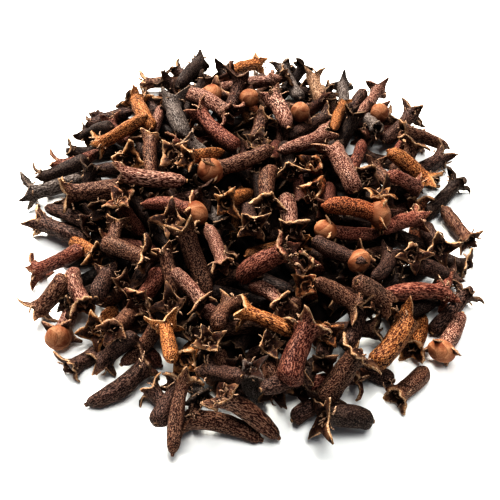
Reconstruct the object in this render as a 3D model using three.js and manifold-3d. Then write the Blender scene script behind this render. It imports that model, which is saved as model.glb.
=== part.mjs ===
import * as THREE from 'three';
import { mergeVertices } from 'three/addons/utils/BufferGeometryUtils.js';
import Module from 'manifold-3d';

// A low heap of whole cloves, the dried flower buds of the clove tree. One solid out to its uneven
// outline: a mound with single cloves standing proud of it and lying round its foot.
// Millimetres, +Z up. The origin is the middle of the underside of the heap's box.

// Heap
const HALF_WIDTH = 45; // along X, to the foot of the mound, without the cloves that stick out of it
const HALF_DEPTH = 53; // the same along Y
const HEAP_HEIGHT = 15.5; // of the mound in the middle, without the cloves on top
const CROWN_FLATNESS = 0.75; // 1 is a parabola, less is flatter on top with a steeper foot
const OUTLINE_LOBES = [ // slow waves of the foot round the heap
	{ waves: 2, size: 0.008, turn: 0.3 },
	{ waves: 3, size: 0.008, turn: 1.9 },
	{ waves: 5, size: 0.008, turn: 4.1 },
];
const MOUND_RINGS = 7;
const MOUND_SIDES = 30;
const FOOT_HEIGHT = 1.2; // thickness of the mound at its foot

// Clove, tail at 0 and crown towards +X
const CLOVE_LENGTH = 13;
const LENGTH_SPREAD = 1.6; // longest and shortest are this much off
const STEM_SIDES = 8;
const STEM_RINGS = [ // [share of the length, radius] from tail to neck
	[ 0.05, 1.0 ],
	[ 0.6, 1.95 ],
];
const SEPAL_REACH = 3.7; // from the axis to a sepal's tip
const SEPAL_TIP_AT = 0.93; // share of the length
const SEPAL_VALLEY_REACH = 1.9; // between two sepals
const SEPAL_VALLEY_AT = 0.82;
const CUP_FLOOR_AT = 0.84; // middle of the open crown
const BUD_REACH = 2.1; // shut petals inside the crown
const BUD_SHOULDER_AT = 0.95;
const BUD_TOP_AT = 1.08;
const BUD_EVERY = 7; // one clove in this many still has its bud

// Layout
const TOP_CLOVES = 54; // lying on the mound
const FOOT_CLOVES = 30; // lying round its foot
const SINK = 0.4; // a top clove's axis lies this far above the mound's surface
const FOOT_REACH = 1.5; // a foot clove's middle lies this far outside the mound's foot
const FOOT_TURN = 1; // radians, at most this far off from pointing out of the heap
const PLACE_JITTER = 2.2;
const TILT_SPREAD = 0.4; // radians, up or down from the slope
const GOLDEN_ANGLE = Math.PI * ( 3 - Math.sqrt( 5 ) );
const SLOPE_STEP = 0.5; // distance over which a slope is measured
const SEED = 44;

function randomSource( seed ) {

	let state = seed;
	return function () {

		state = ( state * 1664525 + 1013904223 ) % 4294967296;
		return state / 4294967296;

	};

}

const random = randomSource( SEED );
const spread = ( size ) => size * ( 2 * random() - 1 );

// How much wider than its ellipse the foot is, by the angle round the heap.
function lobesAt( angle ) {

	const waves = OUTLINE_LOBES.map( ( lobe ) => lobe.size * Math.cos( lobe.waves * angle + lobe.turn ) );
	return 1 + waves.reduce( ( sum, wave ) => sum + wave, 0 );

}

// A place on the floor: share is 0 in the middle and 1 at the foot, and extra is added in millimetres.
function floorPlace( angle, share, extra = 0 ) {

	const x = ( share * lobesAt( angle ) * HALF_WIDTH + extra ) * Math.cos( angle );
	const y = ( share * lobesAt( angle ) * HALF_DEPTH + extra ) * Math.sin( angle );
	return { x, y };

}

function moundHeight( x, y ) {

	const across = x / HALF_WIDTH;
	const deep = y / HALF_DEPTH;
	const share = Math.min( Math.hypot( across, deep ) / lobesAt( Math.atan2( deep, across ) ), 1 );
	return FOOT_HEIGHT + ( HEAP_HEIGHT - FOOT_HEIGHT ) * ( 1 - share ** 2 ) ** CROWN_FLATNESS;

}

// The slope of the mound in one direction, in radians, uphill positive.
function moundSlope( x, y, heading ) {

	const stepX = SLOPE_STEP * Math.cos( heading );
	const stepY = SLOPE_STEP * Math.sin( heading );
	const rise = moundHeight( x + stepX, y + stepY ) - moundHeight( x - stepX, y - stepY );
	return Math.atan2( rise, 2 * SLOPE_STEP );

}

// A closed skin over rings of points, each ring with the same number, shut by a point at each end.
function ringsGeometry( start, rings, end ) {

	const sides = rings[ 0 ].length;
	const points = [ start, ...rings.flat(), end ];
	const last = points.length - 1;
	const at = ( ring, side ) => 1 + ring * sides + side % sides;
	const faces = [];
	for ( let side = 0; side < sides; side ++ ) {

		faces.push( 0, at( 0, side + 1 ), at( 0, side ) );
		for ( let ring = 0; ring + 1 < rings.length; ring ++ ) {

			faces.push( at( ring, side ), at( ring, side + 1 ), at( ring + 1, side ) );
			faces.push( at( ring, side + 1 ), at( ring + 1, side + 1 ), at( ring + 1, side ) );

		}

		faces.push( last, at( rings.length - 1, side ), at( rings.length - 1, side + 1 ) );

	}

	const geometry = new THREE.BufferGeometry().setFromPoints( points );
	geometry.setIndex( faces );
	return geometry;

}

function moundGeometry() {

	const rings = [];
	for ( let ring = 0; ring <= MOUND_RINGS; ring ++ ) {

		// Rings crowd towards the foot, where the slope is steepest.
		const share = Math.sin( ( Math.PI / 2 ) * ( 1 - ring / ( MOUND_RINGS + 1 ) ) );
		rings.push( moundRing( share, moundHeight ) );

	}

	const foot = moundRing( 1, () => 0 );
	return ringsGeometry( new THREE.Vector3( 0, 0, 0 ), [ foot, ...rings ],
		new THREE.Vector3( 0, 0, HEAP_HEIGHT ) );

}

function moundRing( share, height ) {

	return Array.from( { length: MOUND_SIDES }, ( _, side ) => {

		const { x, y } = floorPlace( ( 2 * Math.PI * side ) / MOUND_SIDES, share );
		return new THREE.Vector3( x, y, height( x, y ) );

	} );

}

// A ring round the clove's axis. Even points are over the four sepals, odd ones between them.
function cloveRing( length, shape ) {

	return Array.from( { length: STEM_SIDES }, ( _, side ) => {

		const angle = ( 2 * Math.PI * side ) / STEM_SIDES;
		const { at, reach } = shape( side % 2 === 0 );
		return new THREE.Vector3( at * length, reach * Math.cos( angle ), reach * Math.sin( angle ) );

	} );

}

function cloveGeometry( length, hasBud ) {

	const rings = STEM_RINGS.map( ( [ at, reach ] ) => cloveRing( length, () => ( { at, reach } ) ) );
	rings.push( cloveRing( length, ( isSepal ) => isSepal
		? { at: SEPAL_TIP_AT, reach: SEPAL_REACH }
		: { at: SEPAL_VALLEY_AT, reach: SEPAL_VALLEY_REACH } ) );
	if ( hasBud ) {

		rings.push( cloveRing( length, () => ( { at: BUD_SHOULDER_AT, reach: BUD_REACH } ) ) );

	}

	const endAt = hasBud ? BUD_TOP_AT : CUP_FLOOR_AT;
	return ringsGeometry( new THREE.Vector3( 0, 0, 0 ), rings,
		new THREE.Vector3( endAt * length, 0, 0 ) );

}

// Lays a clove with its middle at x, y, z: turned about its axis, tipped up, then turned on the floor.
function laidClove( index, { x, y, z, heading, tilt } ) {

	const length = CLOVE_LENGTH + spread( LENGTH_SPREAD );
	const geometry = cloveGeometry( length, index % BUD_EVERY === 0 );
	geometry.translate( - length / 2, 0, 0 );
	geometry.rotateX( Math.PI * random() );
	geometry.rotateY( - tilt );
	geometry.rotateZ( heading );
	geometry.translate( x, y, z );
	return geometry;

}

function topPlace( index ) {

	const middle = floorPlace( index * GOLDEN_ANGLE, Math.sqrt( ( index + 0.5 ) / TOP_CLOVES ) );
	const x = middle.x + spread( PLACE_JITTER );
	const y = middle.y + spread( PLACE_JITTER );
	const heading = 2 * Math.PI * random();
	const tilt = moundSlope( x, y, heading ) + spread( TILT_SPREAD );
	return { x, y, z: moundHeight( x, y ) + SINK, heading, tilt };

}

function footPlace( index ) {

	const angle = ( 2 * Math.PI * ( index + 0.5 * random() ) ) / FOOT_CLOVES;
	const middle = floorPlace( angle, 1, FOOT_REACH + spread( PLACE_JITTER ) );
	const outOrIn = Math.PI * Math.round( random() );
	const heading = angle + outOrIn + spread( FOOT_TURN );
	const z = STEM_RINGS[ 1 ][ 1 ];
	return { ...middle, z, heading, tilt: 0 };

}

const wasm = await Module();
wasm.setup();

function toSolid( geometry ) {

	const bare = geometry.clone();
	bare.deleteAttribute( 'normal' );
	bare.deleteAttribute( 'uv' );
	const merged = mergeVertices( bare );
	return new wasm.Manifold( new wasm.Mesh( {
		numProp: 3,
		vertProperties: new Float32Array( merged.attributes.position.array ),
		triVerts: new Uint32Array( merged.index.array ),
	} ) );

}

function toGeometry( solid ) {

	const mesh = solid.getMesh();
	const geometry = new THREE.BufferGeometry();
	geometry.setAttribute( 'position', new THREE.BufferAttribute( mesh.vertProperties, 3 ) );
	geometry.setIndex( new THREE.BufferAttribute( mesh.triVerts, 1 ) );
	return geometry;

}

// All that lies under the floor, to cut the heap flat.
function underFloor() {

	const size = 4 * HALF_DEPTH;
	return toSolid( new THREE.BoxGeometry( size, size, size ).translate( 0, 0, - size / 2 ) );

}

function heapGeometry() {

	let heap = toSolid( moundGeometry() );
	for ( let index = 0; index < TOP_CLOVES; index ++ ) {

		heap = heap.add( toSolid( laidClove( index, topPlace( index ) ) ) );

	}

	for ( let index = 0; index < FOOT_CLOVES; index ++ ) {

		heap = heap.add( toSolid( laidClove( index, footPlace( index ) ) ) );

	}

	const geometry = toGeometry( heap.subtract( underFloor() ) );
	geometry.computeBoundingBox();
	const middle = geometry.boundingBox.getCenter( new THREE.Vector3() );
	return geometry.translate( - middle.x, - middle.y, - geometry.boundingBox.min.z );

}

const driedClove = new THREE.MeshStandardMaterial( { color: 0x4a2b1d, roughness: 0.8, metalness: 0 } );
const cloveHeap = new THREE.Mesh( heapGeometry(), driedClove );
cloveHeap.name = 'clove_heap';

const heap = new THREE.Group();
heap.add( cloveHeap );

export default heap;
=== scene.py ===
"""A low heap of whole cloves lying loose on a pale table. Run inside Blender, it builds every clove
as a mesh over a smaller dark core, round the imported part."""

import functools
import math
from collections import namedtuple

import bpy
import numpy as np
from mathutils import Euler, Matrix, Vector, noise


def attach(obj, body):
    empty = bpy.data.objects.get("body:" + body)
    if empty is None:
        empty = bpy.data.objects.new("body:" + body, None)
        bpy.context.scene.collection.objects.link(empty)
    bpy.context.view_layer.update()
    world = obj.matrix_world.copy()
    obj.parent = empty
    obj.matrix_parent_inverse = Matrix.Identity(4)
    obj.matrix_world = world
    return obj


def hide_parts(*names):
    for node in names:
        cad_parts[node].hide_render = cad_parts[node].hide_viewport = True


bl_info = {
    "name": "Clove Heap",
    "version": (1, 0, 0),
    "blender": (4, 5, 0),
    "location": "View3D > Sidebar > Clove Heap",
    "description": "Builds a heap of dried whole cloves",
    "category": "Add Mesh",
}

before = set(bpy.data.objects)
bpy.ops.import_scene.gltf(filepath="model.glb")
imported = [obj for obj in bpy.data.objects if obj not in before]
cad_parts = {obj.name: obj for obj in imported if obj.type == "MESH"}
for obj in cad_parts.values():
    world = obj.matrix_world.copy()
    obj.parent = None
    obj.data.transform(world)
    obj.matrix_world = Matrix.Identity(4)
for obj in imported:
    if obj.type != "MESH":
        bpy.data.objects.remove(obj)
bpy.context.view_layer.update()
BODY = "root"
HEAP_NODE = "clove_heap"
MM = 0.001

# ---------------------------------------------------------------- camera

FRAME_PX = 500  # the square frame's side
FOCAL_PX = 720.0
CAMERA_DISTANCE = 155.0  # mm, from the point the camera looks at
CAMERA_RISE = math.radians(50)  # above the horizon
CAMERA_TARGET = np.array([0.9, -14.0, 5.0])  # mm, in the middle of the frame
SENSOR_MM = 36.0


def camera_axes():
    """The camera's right, up and forward directions. It looks along +Y and down."""
    sine, cosine = math.sin(CAMERA_RISE), math.cos(CAMERA_RISE)
    right = np.array([1.0, 0.0, 0.0])
    up = np.array([0.0, sine, cosine])
    forward = np.array([0.0, cosine, -sine])
    return right, up, forward


def camera_place():
    """Where the camera stands, in mm."""
    return CAMERA_TARGET - CAMERA_DISTANCE * camera_axes()[2]


def ray_through(pixel):
    """Direction from the camera through a pixel of the frame, of length 1."""
    right, up, forward = camera_axes()
    across = (pixel[0] - FRAME_PX / 2) / FOCAL_PX
    down = (pixel[1] - FRAME_PX / 2) / FOCAL_PX
    ray = forward + across * right - down * up
    return ray / np.linalg.norm(ray)


# ---------------------------------------------------------------- heap

HEAP_EDGE = 2.4  # mm, height of the axes of the cloves at the foot
HEAP_FLATNESS = 0.8  # 1 is a parabola, less is flatter on top with a steeper foot


def heap_size(name):
    """A length that is set for the heap, in mm."""
    return getattr(bpy.context.scene.heap_sizes, name) / MM


def foot_radius():
    """Half the close heap's foot along X and Y, in mm."""
    return np.array([heap_size("foot_across"), heap_size("foot_deep")])


def heap_height(x, y):
    """Height of the axes of the cloves that lie on top, in mm."""
    across, deep = foot_radius()
    share = np.minimum(np.hypot(np.asarray(x) / across, np.asarray(y) / deep), 1.0)
    return HEAP_EDGE + (heap_size("top") - HEAP_EDGE) * (1 - share**2) ** HEAP_FLATNESS


def core_radius():
    """Half the core's foot along X and Y, in mm."""
    return foot_radius() - heap_size("core_inset")


def core_height(x, y):
    """Height of the core's surface, under 0 outside its foot."""
    across, deep = core_radius()
    share = np.hypot(np.asarray(x) / across, np.asarray(y) / deep)
    return (heap_size("top") - heap_size("core_depth")) * (1 - share**4)


# A clove that shows from the front:
#   crown, tail  the middle of its crown, and its tail, in pixels of the frame
#   tone, habit  its skin, and how its sepals stand ("" for any open way)
#   stand        0 if it lies, 1 if its crown points at the eye, -1 if its tail does
#   lift         how far it lies over its neighbours, in mm
#   girth        how thick it is, 1 for the usual
#   gold         how golden its edges are, under 0 for as golden as its tone is
#   shade        how much lighter than its tone it is, under 0 for darker, partly painted light and shade
SEEN_FIELDS = "name crown tail tone habit stand lift girth gold shade"
Seen = namedtuple("Seen", SEEN_FIELDS, defaults=("", 0, 0.0, 1.0, -1.0, 0.0))

BACK_EDGE = [
    Seen("back_left_horned", (145, 85), (192, 82), "brown", "claw", gold=0.9),
    Seen("back_left_pale", (137, 101), (152, 130), "ochre", "star", lift=2.5, girth=1.1, gold=0.7),
    Seen("back_left_open", (93, 126), (134, 110), "dark", "claw"),
    Seen("back_left_shaded", (87, 135), (113, 127), "black", "claw", lift=-0.5),
    Seen("back_left_orange", (101, 143), (148, 115), "ochre", "star", lift=1, gold=0.5),
    Seen("back_left_low", (62, 163), (98, 150), "red", "claw", gold=0.2),
    Seen("back_black_cup", (200, 68), (178, 88), "black", "cup", girth=1.2, gold=0),
    Seen("back_small_cup", (178, 77), (215, 82), "dark", "claw", gold=0.4),
    Seen("back_black_horn", (223, 76), (245, 98), "black", "claw", gold=0),
    Seen("back_pale_top", (257, 64), (226, 78), "ochre", "star"),
    Seen("back_roof", (272, 80), (232, 86), "plum", "rolled", lift=1.5),
    Seen("back_grey_down", (284, 69), (300, 99), "grey", "claw", lift=1, gold=0.1),
    Seen("back_horn_down", (314, 80), (327, 107), "pale", "claw", lift=1, gold=0.6, shade=-1.4),
    Seen("back_grey_up", (341, 88), (344, 122), "grey", "star", gold=0),
    Seen("back_right_up", (377, 94), (356, 124), "plum", "star", gold=0),
    Seen("back_right_wide", (410, 115), (384, 142), "dark", "star", girth=1.15, gold=0.2),
]

LEFT_EDGE = [
    Seen("left_dark_horn", (44, 178), (88, 160), "black", "claw", gold=0.1),
    Seen("left_grey_horn", (38, 196), (84, 180), "grey", "claw", girth=1.15, gold=0),
    Seen("left_gold", (69, 195), (132, 190), "brown", "star", lift=2, girth=1.25, gold=1.1, shade=-0.5),
    Seen("left_turned", (92, 224), (46, 207), "dark", "rolled", gold=0),
    Seen("left_plum", (42, 224), (92, 240), "dark", "star", lift=1, girth=1.15, gold=0.9, shade=0.2),
    Seen("left_long_horns", (35, 270), (85, 247), "red", "claw", gold=0.3),
    Seen("left_upright", (84, 306), (69, 268), "plum", "rolled", lift=1.5, girth=1.1, gold=0.8),
    Seen("left_leaning", (42, 310), (72, 278), "brown", "claw", girth=1.1, gold=0.5),
    Seen("left_ball", (61, 341), (72, 296), "plum", "collar", girth=1.05, shade=-0.3),
    Seen("left_star", (98, 330), (114, 316), "ochre", "star", stand=1, lift=1, girth=1.1, gold=1.1),
    Seen("left_low_horns", (70, 370), (112, 338), "dark", "claw", gold=0.4),
    Seen("left_stub", (89, 173), (135, 165), "dark", "cup", lift=-2),
]

FRONT_EDGE = [
    Seen("front_alone", (148, 365), (84, 406), "dark", "claw", girth=1.15, gold=0.1, shade=-0.3),
    Seen("front_turned_crown", (103, 360), (136, 334), "dark", "rolled", gold=0.4),
    Seen("front_bare_tail", (160, 322), (121, 364), "brown", "claw", gold=0.2),
    Seen("front_short", (180, 388), (157, 425), "dark", "claw", lift=-0.5, gold=0.3),
    Seen("front_side_crown", (154, 389), (188, 420), "dark", "claw", lift=-0.5, girth=0.9, gold=0.5),
    Seen("front_tip", (184, 380), (173, 454), "brown", "star", lift=1.2, girth=0.84, gold=1.1, shade=-0.3),
    Seen("front_low", (188, 416), (260, 440), "brown", "claw", girth=1.15, gold=0, shade=-0.5),
    Seen("front_top", (222, 389), (281, 440), "brown", "rolled", lift=1, girth=1.15, gold=0.4, shade=-0.3),
    Seen("front_open_crown", (275, 392), (262, 352), "brown", "rolled", gold=0.5),
    Seen("front_fat_red", (310, 326), (288, 386), "red", "claw", lift=3, girth=1.42, gold=1.1, shade=-0.7),
    Seen("front_black", (320, 416), (376, 421), "black", "star", girth=1.3, gold=0.45),
    Seen("front_black_tail", (330, 394), (294, 417), "dark", "claw", lift=-0.5, gold=0),
    Seen("front_long", (356, 354), (321, 402), "brown", "rolled", lift=1, girth=1.25, gold=0.6, shade=-0.9),
    Seen("front_right_dark", (352, 366), (392, 381), "dark", "claw", lift=-1, girth=1.15),
    Seen("front_right_star", (395, 396), (427, 367), "brown", "torn", girth=1.1, gold=0.8, shade=-0.3),
    Seen("front_ochre", (404, 318), (370, 368), "ochre", "cup", lift=1.5, girth=1.35, gold=0.3, shade=-0.8),
    Seen("front_right_open", (412, 348), (420, 322), "ochre", "rolled", stand=1, gold=1),
    Seen("front_dark_bar", (206, 366), (242, 378), "dark", "rolled", lift=-1, gold=0.9),
    Seen("front_grey_sepals", (250, 370), (262, 400), "grey", "claw", gold=0),
    Seen("front_jumble", (187, 362), (200, 344), "ochre", "torn", stand=1, lift=0.5, girth=1.1, gold=1.1),
    Seen("front_dark_branch", (303, 393), (318, 360), "black", "claw", lift=-1),
    Seen("front_dark_behind", (237, 362), (276, 356), "dark", "star", lift=-1),
    Seen("front_small_gold", (228, 380), (216, 350), "brown", "claw", gold=1),
    Seen("front_middle_dark", (296, 376), (262, 388), "dark", "rolled", lift=-1.5),
]

RIGHT_EDGE = [
    Seen("right_ball", (442, 350), (461, 312), "plum", "clasp", girth=1.08, gold=0.4, shade=0.5),
    Seen("right_dark_down", (458, 291), (430, 330), "dark", "claw", gold=0.1),
    Seen("right_red_level", (442, 291), (381, 295), "red", "star", lift=1.5, girth=1.1, gold=0, shade=0.2),
    Seen("right_under_red", (437, 300), (402, 312), "black", "claw", lift=-1),
    Seen("right_star_low", (464, 267), (425, 244), "black", "star", lift=-0.8, gold=0.5),
    Seen("right_star_high", (468, 241), (441, 205), "brown", "star", gold=0.2),
    Seen("right_open", (440, 250), (424, 226), "dark", "star", stand=1, lift=2, girth=1.15, gold=0.6),
    Seen("right_slot_dark", (448, 282), (420, 262), "dark", "claw", lift=-1, gold=0.1),
    Seen("right_horn", (452, 184), (421, 218), "black", "claw", gold=0),
    Seen("right_hidden_horn", (438, 160), (408, 172), "dark", "claw", gold=0.2),
    Seen("right_long", (400, 131), (451, 150), "brown", "cup", lift=1, gold=0.8),
    Seen("right_ribs", (423, 183), (386, 150), "ochre", "claw", lift=1.5, girth=1.2, gold=0.9, shade=-0.2),
]

MIDDLE = [
    Seen("ball_back_left", (214, 93), (238, 88), "plum", "collar", stand=1, lift=1, girth=1),
    Seen("ball_back", (248, 99), (238, 112), "red", "collar", stand=1, lift=1, girth=0.9),
    Seen("ball_back_right", (301, 114), (316, 124), "plum", "collar", stand=1, lift=0.5, girth=0.95),
    Seen("ball_far_right", (376, 113), (366, 134), "red", "collar", stand=1, girth=0.95),
    Seen("ball_ribbed", (212, 169), (275, 148), "brown", "clasp", lift=1.5, girth=1.12, shade=0.3),
    Seen("ball_middle", (192, 213), (140, 204), "red", "collar", lift=0.5, shade=0.2),
    Seen("ball_right", (377, 214), (322, 205), "rust", "clasp", lift=1.5, girth=1.12, shade=-0.6),
    Seen("ball_grey_stem", (358, 260), (311, 238), "dark", "bud", lift=1, girth=1, shade=0),
    Seen("ball_pale", (327, 230), (381, 233), "red", "clasp", lift=1, girth=0.88, shade=0.6),
    Seen("plum_rod", (230, 114), (188, 93), "plum", "claw", lift=1.5, girth=1.2, shade=0.3),
    Seen("red_rod", (195, 115), (239, 148), "red", "claw", lift=1.5, girth=1.15),
    Seen("grey_end_on", (173, 104), (187, 138), "grey", "claw", lift=1.5, girth=1.3, gold=0.1, shade=-0.4),
    Seen("plum_short", (148, 138), (161, 106), "plum", "claw", girth=0.9),
    Seen("cup_up", (152, 139), (152, 180), "brown", "cup", lift=0.5, gold=0.9),
    Seen("gold_bowl", (128, 162), (131, 154), "ochre", "cup", stand=1, lift=2, girth=1.35, gold=1.1),
    Seen("star_bowl", (174, 154), (181, 166), "brown", "star", stand=1, lift=1.5, girth=1.2, gold=1.1),
    Seen("long_plum", (122, 181), (188, 180), "plum", "cup", lift=2.5, girth=1.1),
    Seen("orange_bent", (186, 158), (226, 151), "ochre", "cup", gold=0.5),
    Seen("gold_up", (121, 199), (142, 234), "red", "claw", stand=1, lift=1, girth=1.15, gold=1.1, shade=0.4),
    Seen("gold_rim_left", (119, 222), (114, 258), "brown", "rolled", lift=-1, gold=1),
    Seen("pebbly_left", (145, 258), (103, 242), "brown", "claw", lift=2, girth=1.1, gold=0.6),
    Seen("gold_rim_low", (97, 256), (72, 240), "ochre", "rolled"),
    Seen("plum_end_on", (272, 101), (289, 129), "plum", "cup", lift=1.5, girth=1.2, gold=0.4),
    Seen("gold_lip", (262, 121), (250, 150), "brown", "rolled", gold=1.1),
    Seen("black_mouth_back", (257, 140), (262, 170), "black", "star", stand=1, gold=0.7),
    Seen("rod_right_back", (325, 134), (277, 152), "plum", "cup", lift=1.5, gold=0.2),
    Seen("rod_under", (328, 116), (288, 134), "dark", lift=-1),
    Seen("pale_stub", (344, 108), (334, 130), "ochre", "cup", lift=-0.5, girth=0.8, shade=-0.8),
    Seen("red_tail_up", (350, 174), (362, 140), "red", "cup", girth=0.88, gold=0.2),
    Seen("plum_right", (334, 150), (356, 192), "plum", "cup", lift=1.5, girth=1.3, gold=0.2),
    Seen("brown_crown_right", (374, 168), (398, 186), "brown", "star", gold=0.1),
    Seen("gold_crown_right", (380, 199), (378, 232), "ochre", "claw", gold=1),
    Seen("red_crown_right", (414, 188), (388, 178), "red", "cup", gold=0.4),
    Seen("black_star", (268, 203), (272, 166), "brown", "star", stand=1, lift=1.5, girth=1.1, gold=0.8),
    Seen("black_star_low", (252, 225), (244, 200), "dark", "star", stand=1, lift=1.5, girth=1.1, gold=0.9),
    Seen("black_star_back", (291, 172), (284, 142), "black", "star", stand=1, gold=0.7),
    Seen("plum_bow", (292, 230), (285, 194), "plum", "star", stand=1, lift=0, girth=1.1, gold=0.9),
    Seen("gold_star", (226, 204), (254, 192), "ochre", "claw", stand=1, lift=1, girth=1.1, gold=1.1),
    Seen("rust_star", (313, 192), (318, 176), "rust", "torn", stand=1, lift=1, gold=1),
    Seen("rust_crumple", (314, 164), (322, 180), "rust", "torn", stand=1, lift=1, gold=1),
    Seen("red_arrow", (416, 218), (381, 231), "red", "cup", lift=1.5, gold=0.4, shade=0.6),
    Seen("dark_level", (338, 246), (402, 243), "black", lift=-1, gold=0),
    Seen("star_right", (411, 257), (388, 272), "brown", "star", stand=1, lift=1.5, gold=0.7),
    Seen("rod_under_star", (398, 258), (372, 277), "dark", "cup", gold=0),
    Seen("rust_middle", (302, 264), (318, 272), "red", "torn", stand=1, lift=1.5, girth=1.1, gold=1.1),
    Seen("rust_shreds", (306, 283), (311, 300), "rust", "torn", stand=1, lift=1, girth=1, gold=1.1),
    Seen("dark_pebbly", (355, 302), (315, 280), "brown", "claw", lift=1, girth=1.1, gold=0.4),
    Seen("dark_gold_tail", (386, 302), (356, 281), "brown", "cup", lift=0.5, girth=1.1, gold=0.4),
    Seen("grey_gold_crown", (388, 312), (425, 300), "grey", "rolled", lift=-1, gold=0.9),
    Seen("dark_right_low", (362, 312), (345, 352), "dark", "claw", gold=0.4),
    Seen("plum_flag", (223, 264), (206, 222), "plum", "rolled", lift=2, girth=0.9, gold=0.9),
    Seen("brown_down", (184, 231), (208, 297), "brown", "cup", lift=1, girth=1.25, gold=0.9, shade=-0.8),
    Seen("red_slant", (202, 303), (172, 270), "plum", "rolled", lift=2, girth=0.95, gold=1),
    Seen("red_cross", (290, 250), (236, 280), "red", "star", lift=2, girth=1.25, gold=0.2),
    Seen("plum_slant", (283, 306), (250, 284), "plum", "rolled", lift=1.5, girth=0.95, gold=0.6),
    Seen("ochre_rod", (244, 313), (295, 335), "ochre", "claw", lift=1.5, girth=0.95, gold=1, shade=0.4),
    Seen("gold_lip_low", (232, 305), (216, 330), "brown", "claw", gold=1.1),
    Seen("gold_flaky", (165, 327), (172, 360), "ochre", "claw", lift=0.5, girth=0.95, gold=1.1, shade=0.4),
    Seen("black_mouth_low", (208, 346), (204, 378), "black", "star", stand=1, gold=0.9),
    Seen("mouth_front", (266, 350), (248, 372), "dark", "star", stand=1, lift=-1, girth=0.9, gold=0.7),
    Seen("dark_low_left", (108, 272), (96, 298), "dark", "rolled", gold=0.4),
    Seen("brown_low_left", (128, 285), (102, 308), "brown", "cup", gold=0.3),
    Seen("red_low_left", (135, 302), (160, 268), "red", "claw", girth=1.1, gold=0.6),
    Seen("lip_low_left", (138, 322), (148, 292), "brown", "rolled", gold=0.8),
    Seen("gold_loops", (171, 219), (180, 236), "brown", "claw", stand=1, lift=1, girth=1.1, gold=1.1),
    Seen("black_mouth_left", (172, 306), (180, 330), "dark", "claw", stand=1, gold=0.5),
    Seen("dark_behind_front", (322, 366), (336, 332), "dark", "claw", gold=0.3),
]

SEEN_CLOVES = BACK_EDGE + LEFT_EDGE + FRONT_EDGE + RIGHT_EDGE + MIDDLE

# Spots of the frame where the table shows, between the cloves or just outside them.
FLOOR_SPOTS = {
    "left_upper": (50, 203),
    "left_slot": (90, 268),
    "left_small": (100, 303),
    "back_left": (155, 92),
    "back_left_low": (123, 149),
    "left_behind_star": (80, 173),
    "front_left_high": (163, 351),
    "front_left_low": (187, 352),
    "front_wedge": (209, 393),
    "front_middle": (252, 399),
    "front_right": (324, 318),
    "front_right_small": (356, 343),
    "front_right_low": (366, 392),
    "right_low": (398, 372),
    "right_slot": (427, 327),
    "right_middle": (442, 278),
    "right_high": (431, 228),
    "back_right": (385, 170),
    "back_right_mid": (376, 148),
    "back_right_slot": (435, 147),
    "outside_left_high": (90, 145),
    "outside_left": (68, 146),
    "outside_left_low": (54, 158),
}

# ---------------------------------------------------------------- how the cloves lie

STEM_TO_RIM = 12.0  # mm, from tail to cup rim, of a clove of size 1
LENGTH_LIMITS = (9.6, 14.6)  # mm
BODY_AT = np.array([0.04, 0.2, 0.37, 0.54, 0.71, 0.87, 1.04])  # share of tail to rim
BODY_RADIUS = np.array([0.9, 1.45, 1.65, 1.72, 1.68, 1.85, 2.55])  # mm
FILL_DEPTH, UNDER_DEPTH = 4.2, 7.4  # mm under the top cloves
FILL_INSET, UNDER_INSET, RIM_INSET = 5.0, 12.0, 3.5  # mm inside the foot
FILL_RISE, UNDER_RISE, RISE_SPREAD = 0.35, 0.0, 0.2  # how steeply a scattered clove rises
PLACE_JITTER = 1.5  # mm off the spiral
LENGTH_SPREAD = 0.9  # mm
GIRTH, GIRTH_SPREAD, GIRTH_LIMITS = 0.98, 0.09, (0.8, 1.18)  # of the cloves that don't show
LOW_MIDDLE = 1.8  # mm, the lowest a scattered clove's middle starts
RIM_MIDDLE = 2.0  # mm, height of the middle of one that lies round the foot
RIM_ARC = (0.06, 0.84)  # of half a turn, from +X round the far side
RIM_JITTER = 0.04  # radians round the heap
RIM_TURN = 1.2  # radians, at most this far off from pointing out of the heap
SETTLE_STEPS = 250
SETTLE_PASSES = 5
DROP = 0.03  # mm fallen in a step
PUSH = 0.9  # share of an overlap undone in a pass
SPOT_PUSH = 0.3  # the same for a line of sight to the table
EASE_TOUCHES = 3  # a clove with more touches than this moves less for each
STAND_WEIGHT, SHOWN_WEIGHT = 0.25, 0.5  # how readily one gives way, 1 for one that doesn't show
RAY_PULL = 0.12  # share of the way back to its line of sight in a step
HOLD = 0.05  # how strongly an unseen clove keeps its place over the table
STAND_HOLD = 0.12  # the same for one that stands
FLOOR_SPOT_RADIUS = 0.8  # mm kept free round a line of sight to the table
REACH = 17.0  # mm between the middles of two cloves that can touch
PAIR_MARGIN = 1.0  # mm
PAIR_STEPS = 5  # between two searches for touching pairs
SEED = 11
UNDER_LAYER = 3  # after the cloves that show, the fill and the ones round the foot

Layout = namedtuple("Layout", "tail crown girth tone form layer roll gold shade")


def on_heap(pixel, lift):
    """Where the line of sight through a pixel meets the top cloves' height plus a lift."""
    eye, ray = camera_place(), ray_through(pixel)
    height = heap_size("top") / 2
    for _ in range(8):
        place = eye + ray * (height - eye[2]) / ray[2]
        height = float(heap_height(place[0], place[1])) + lift
    return place


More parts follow.
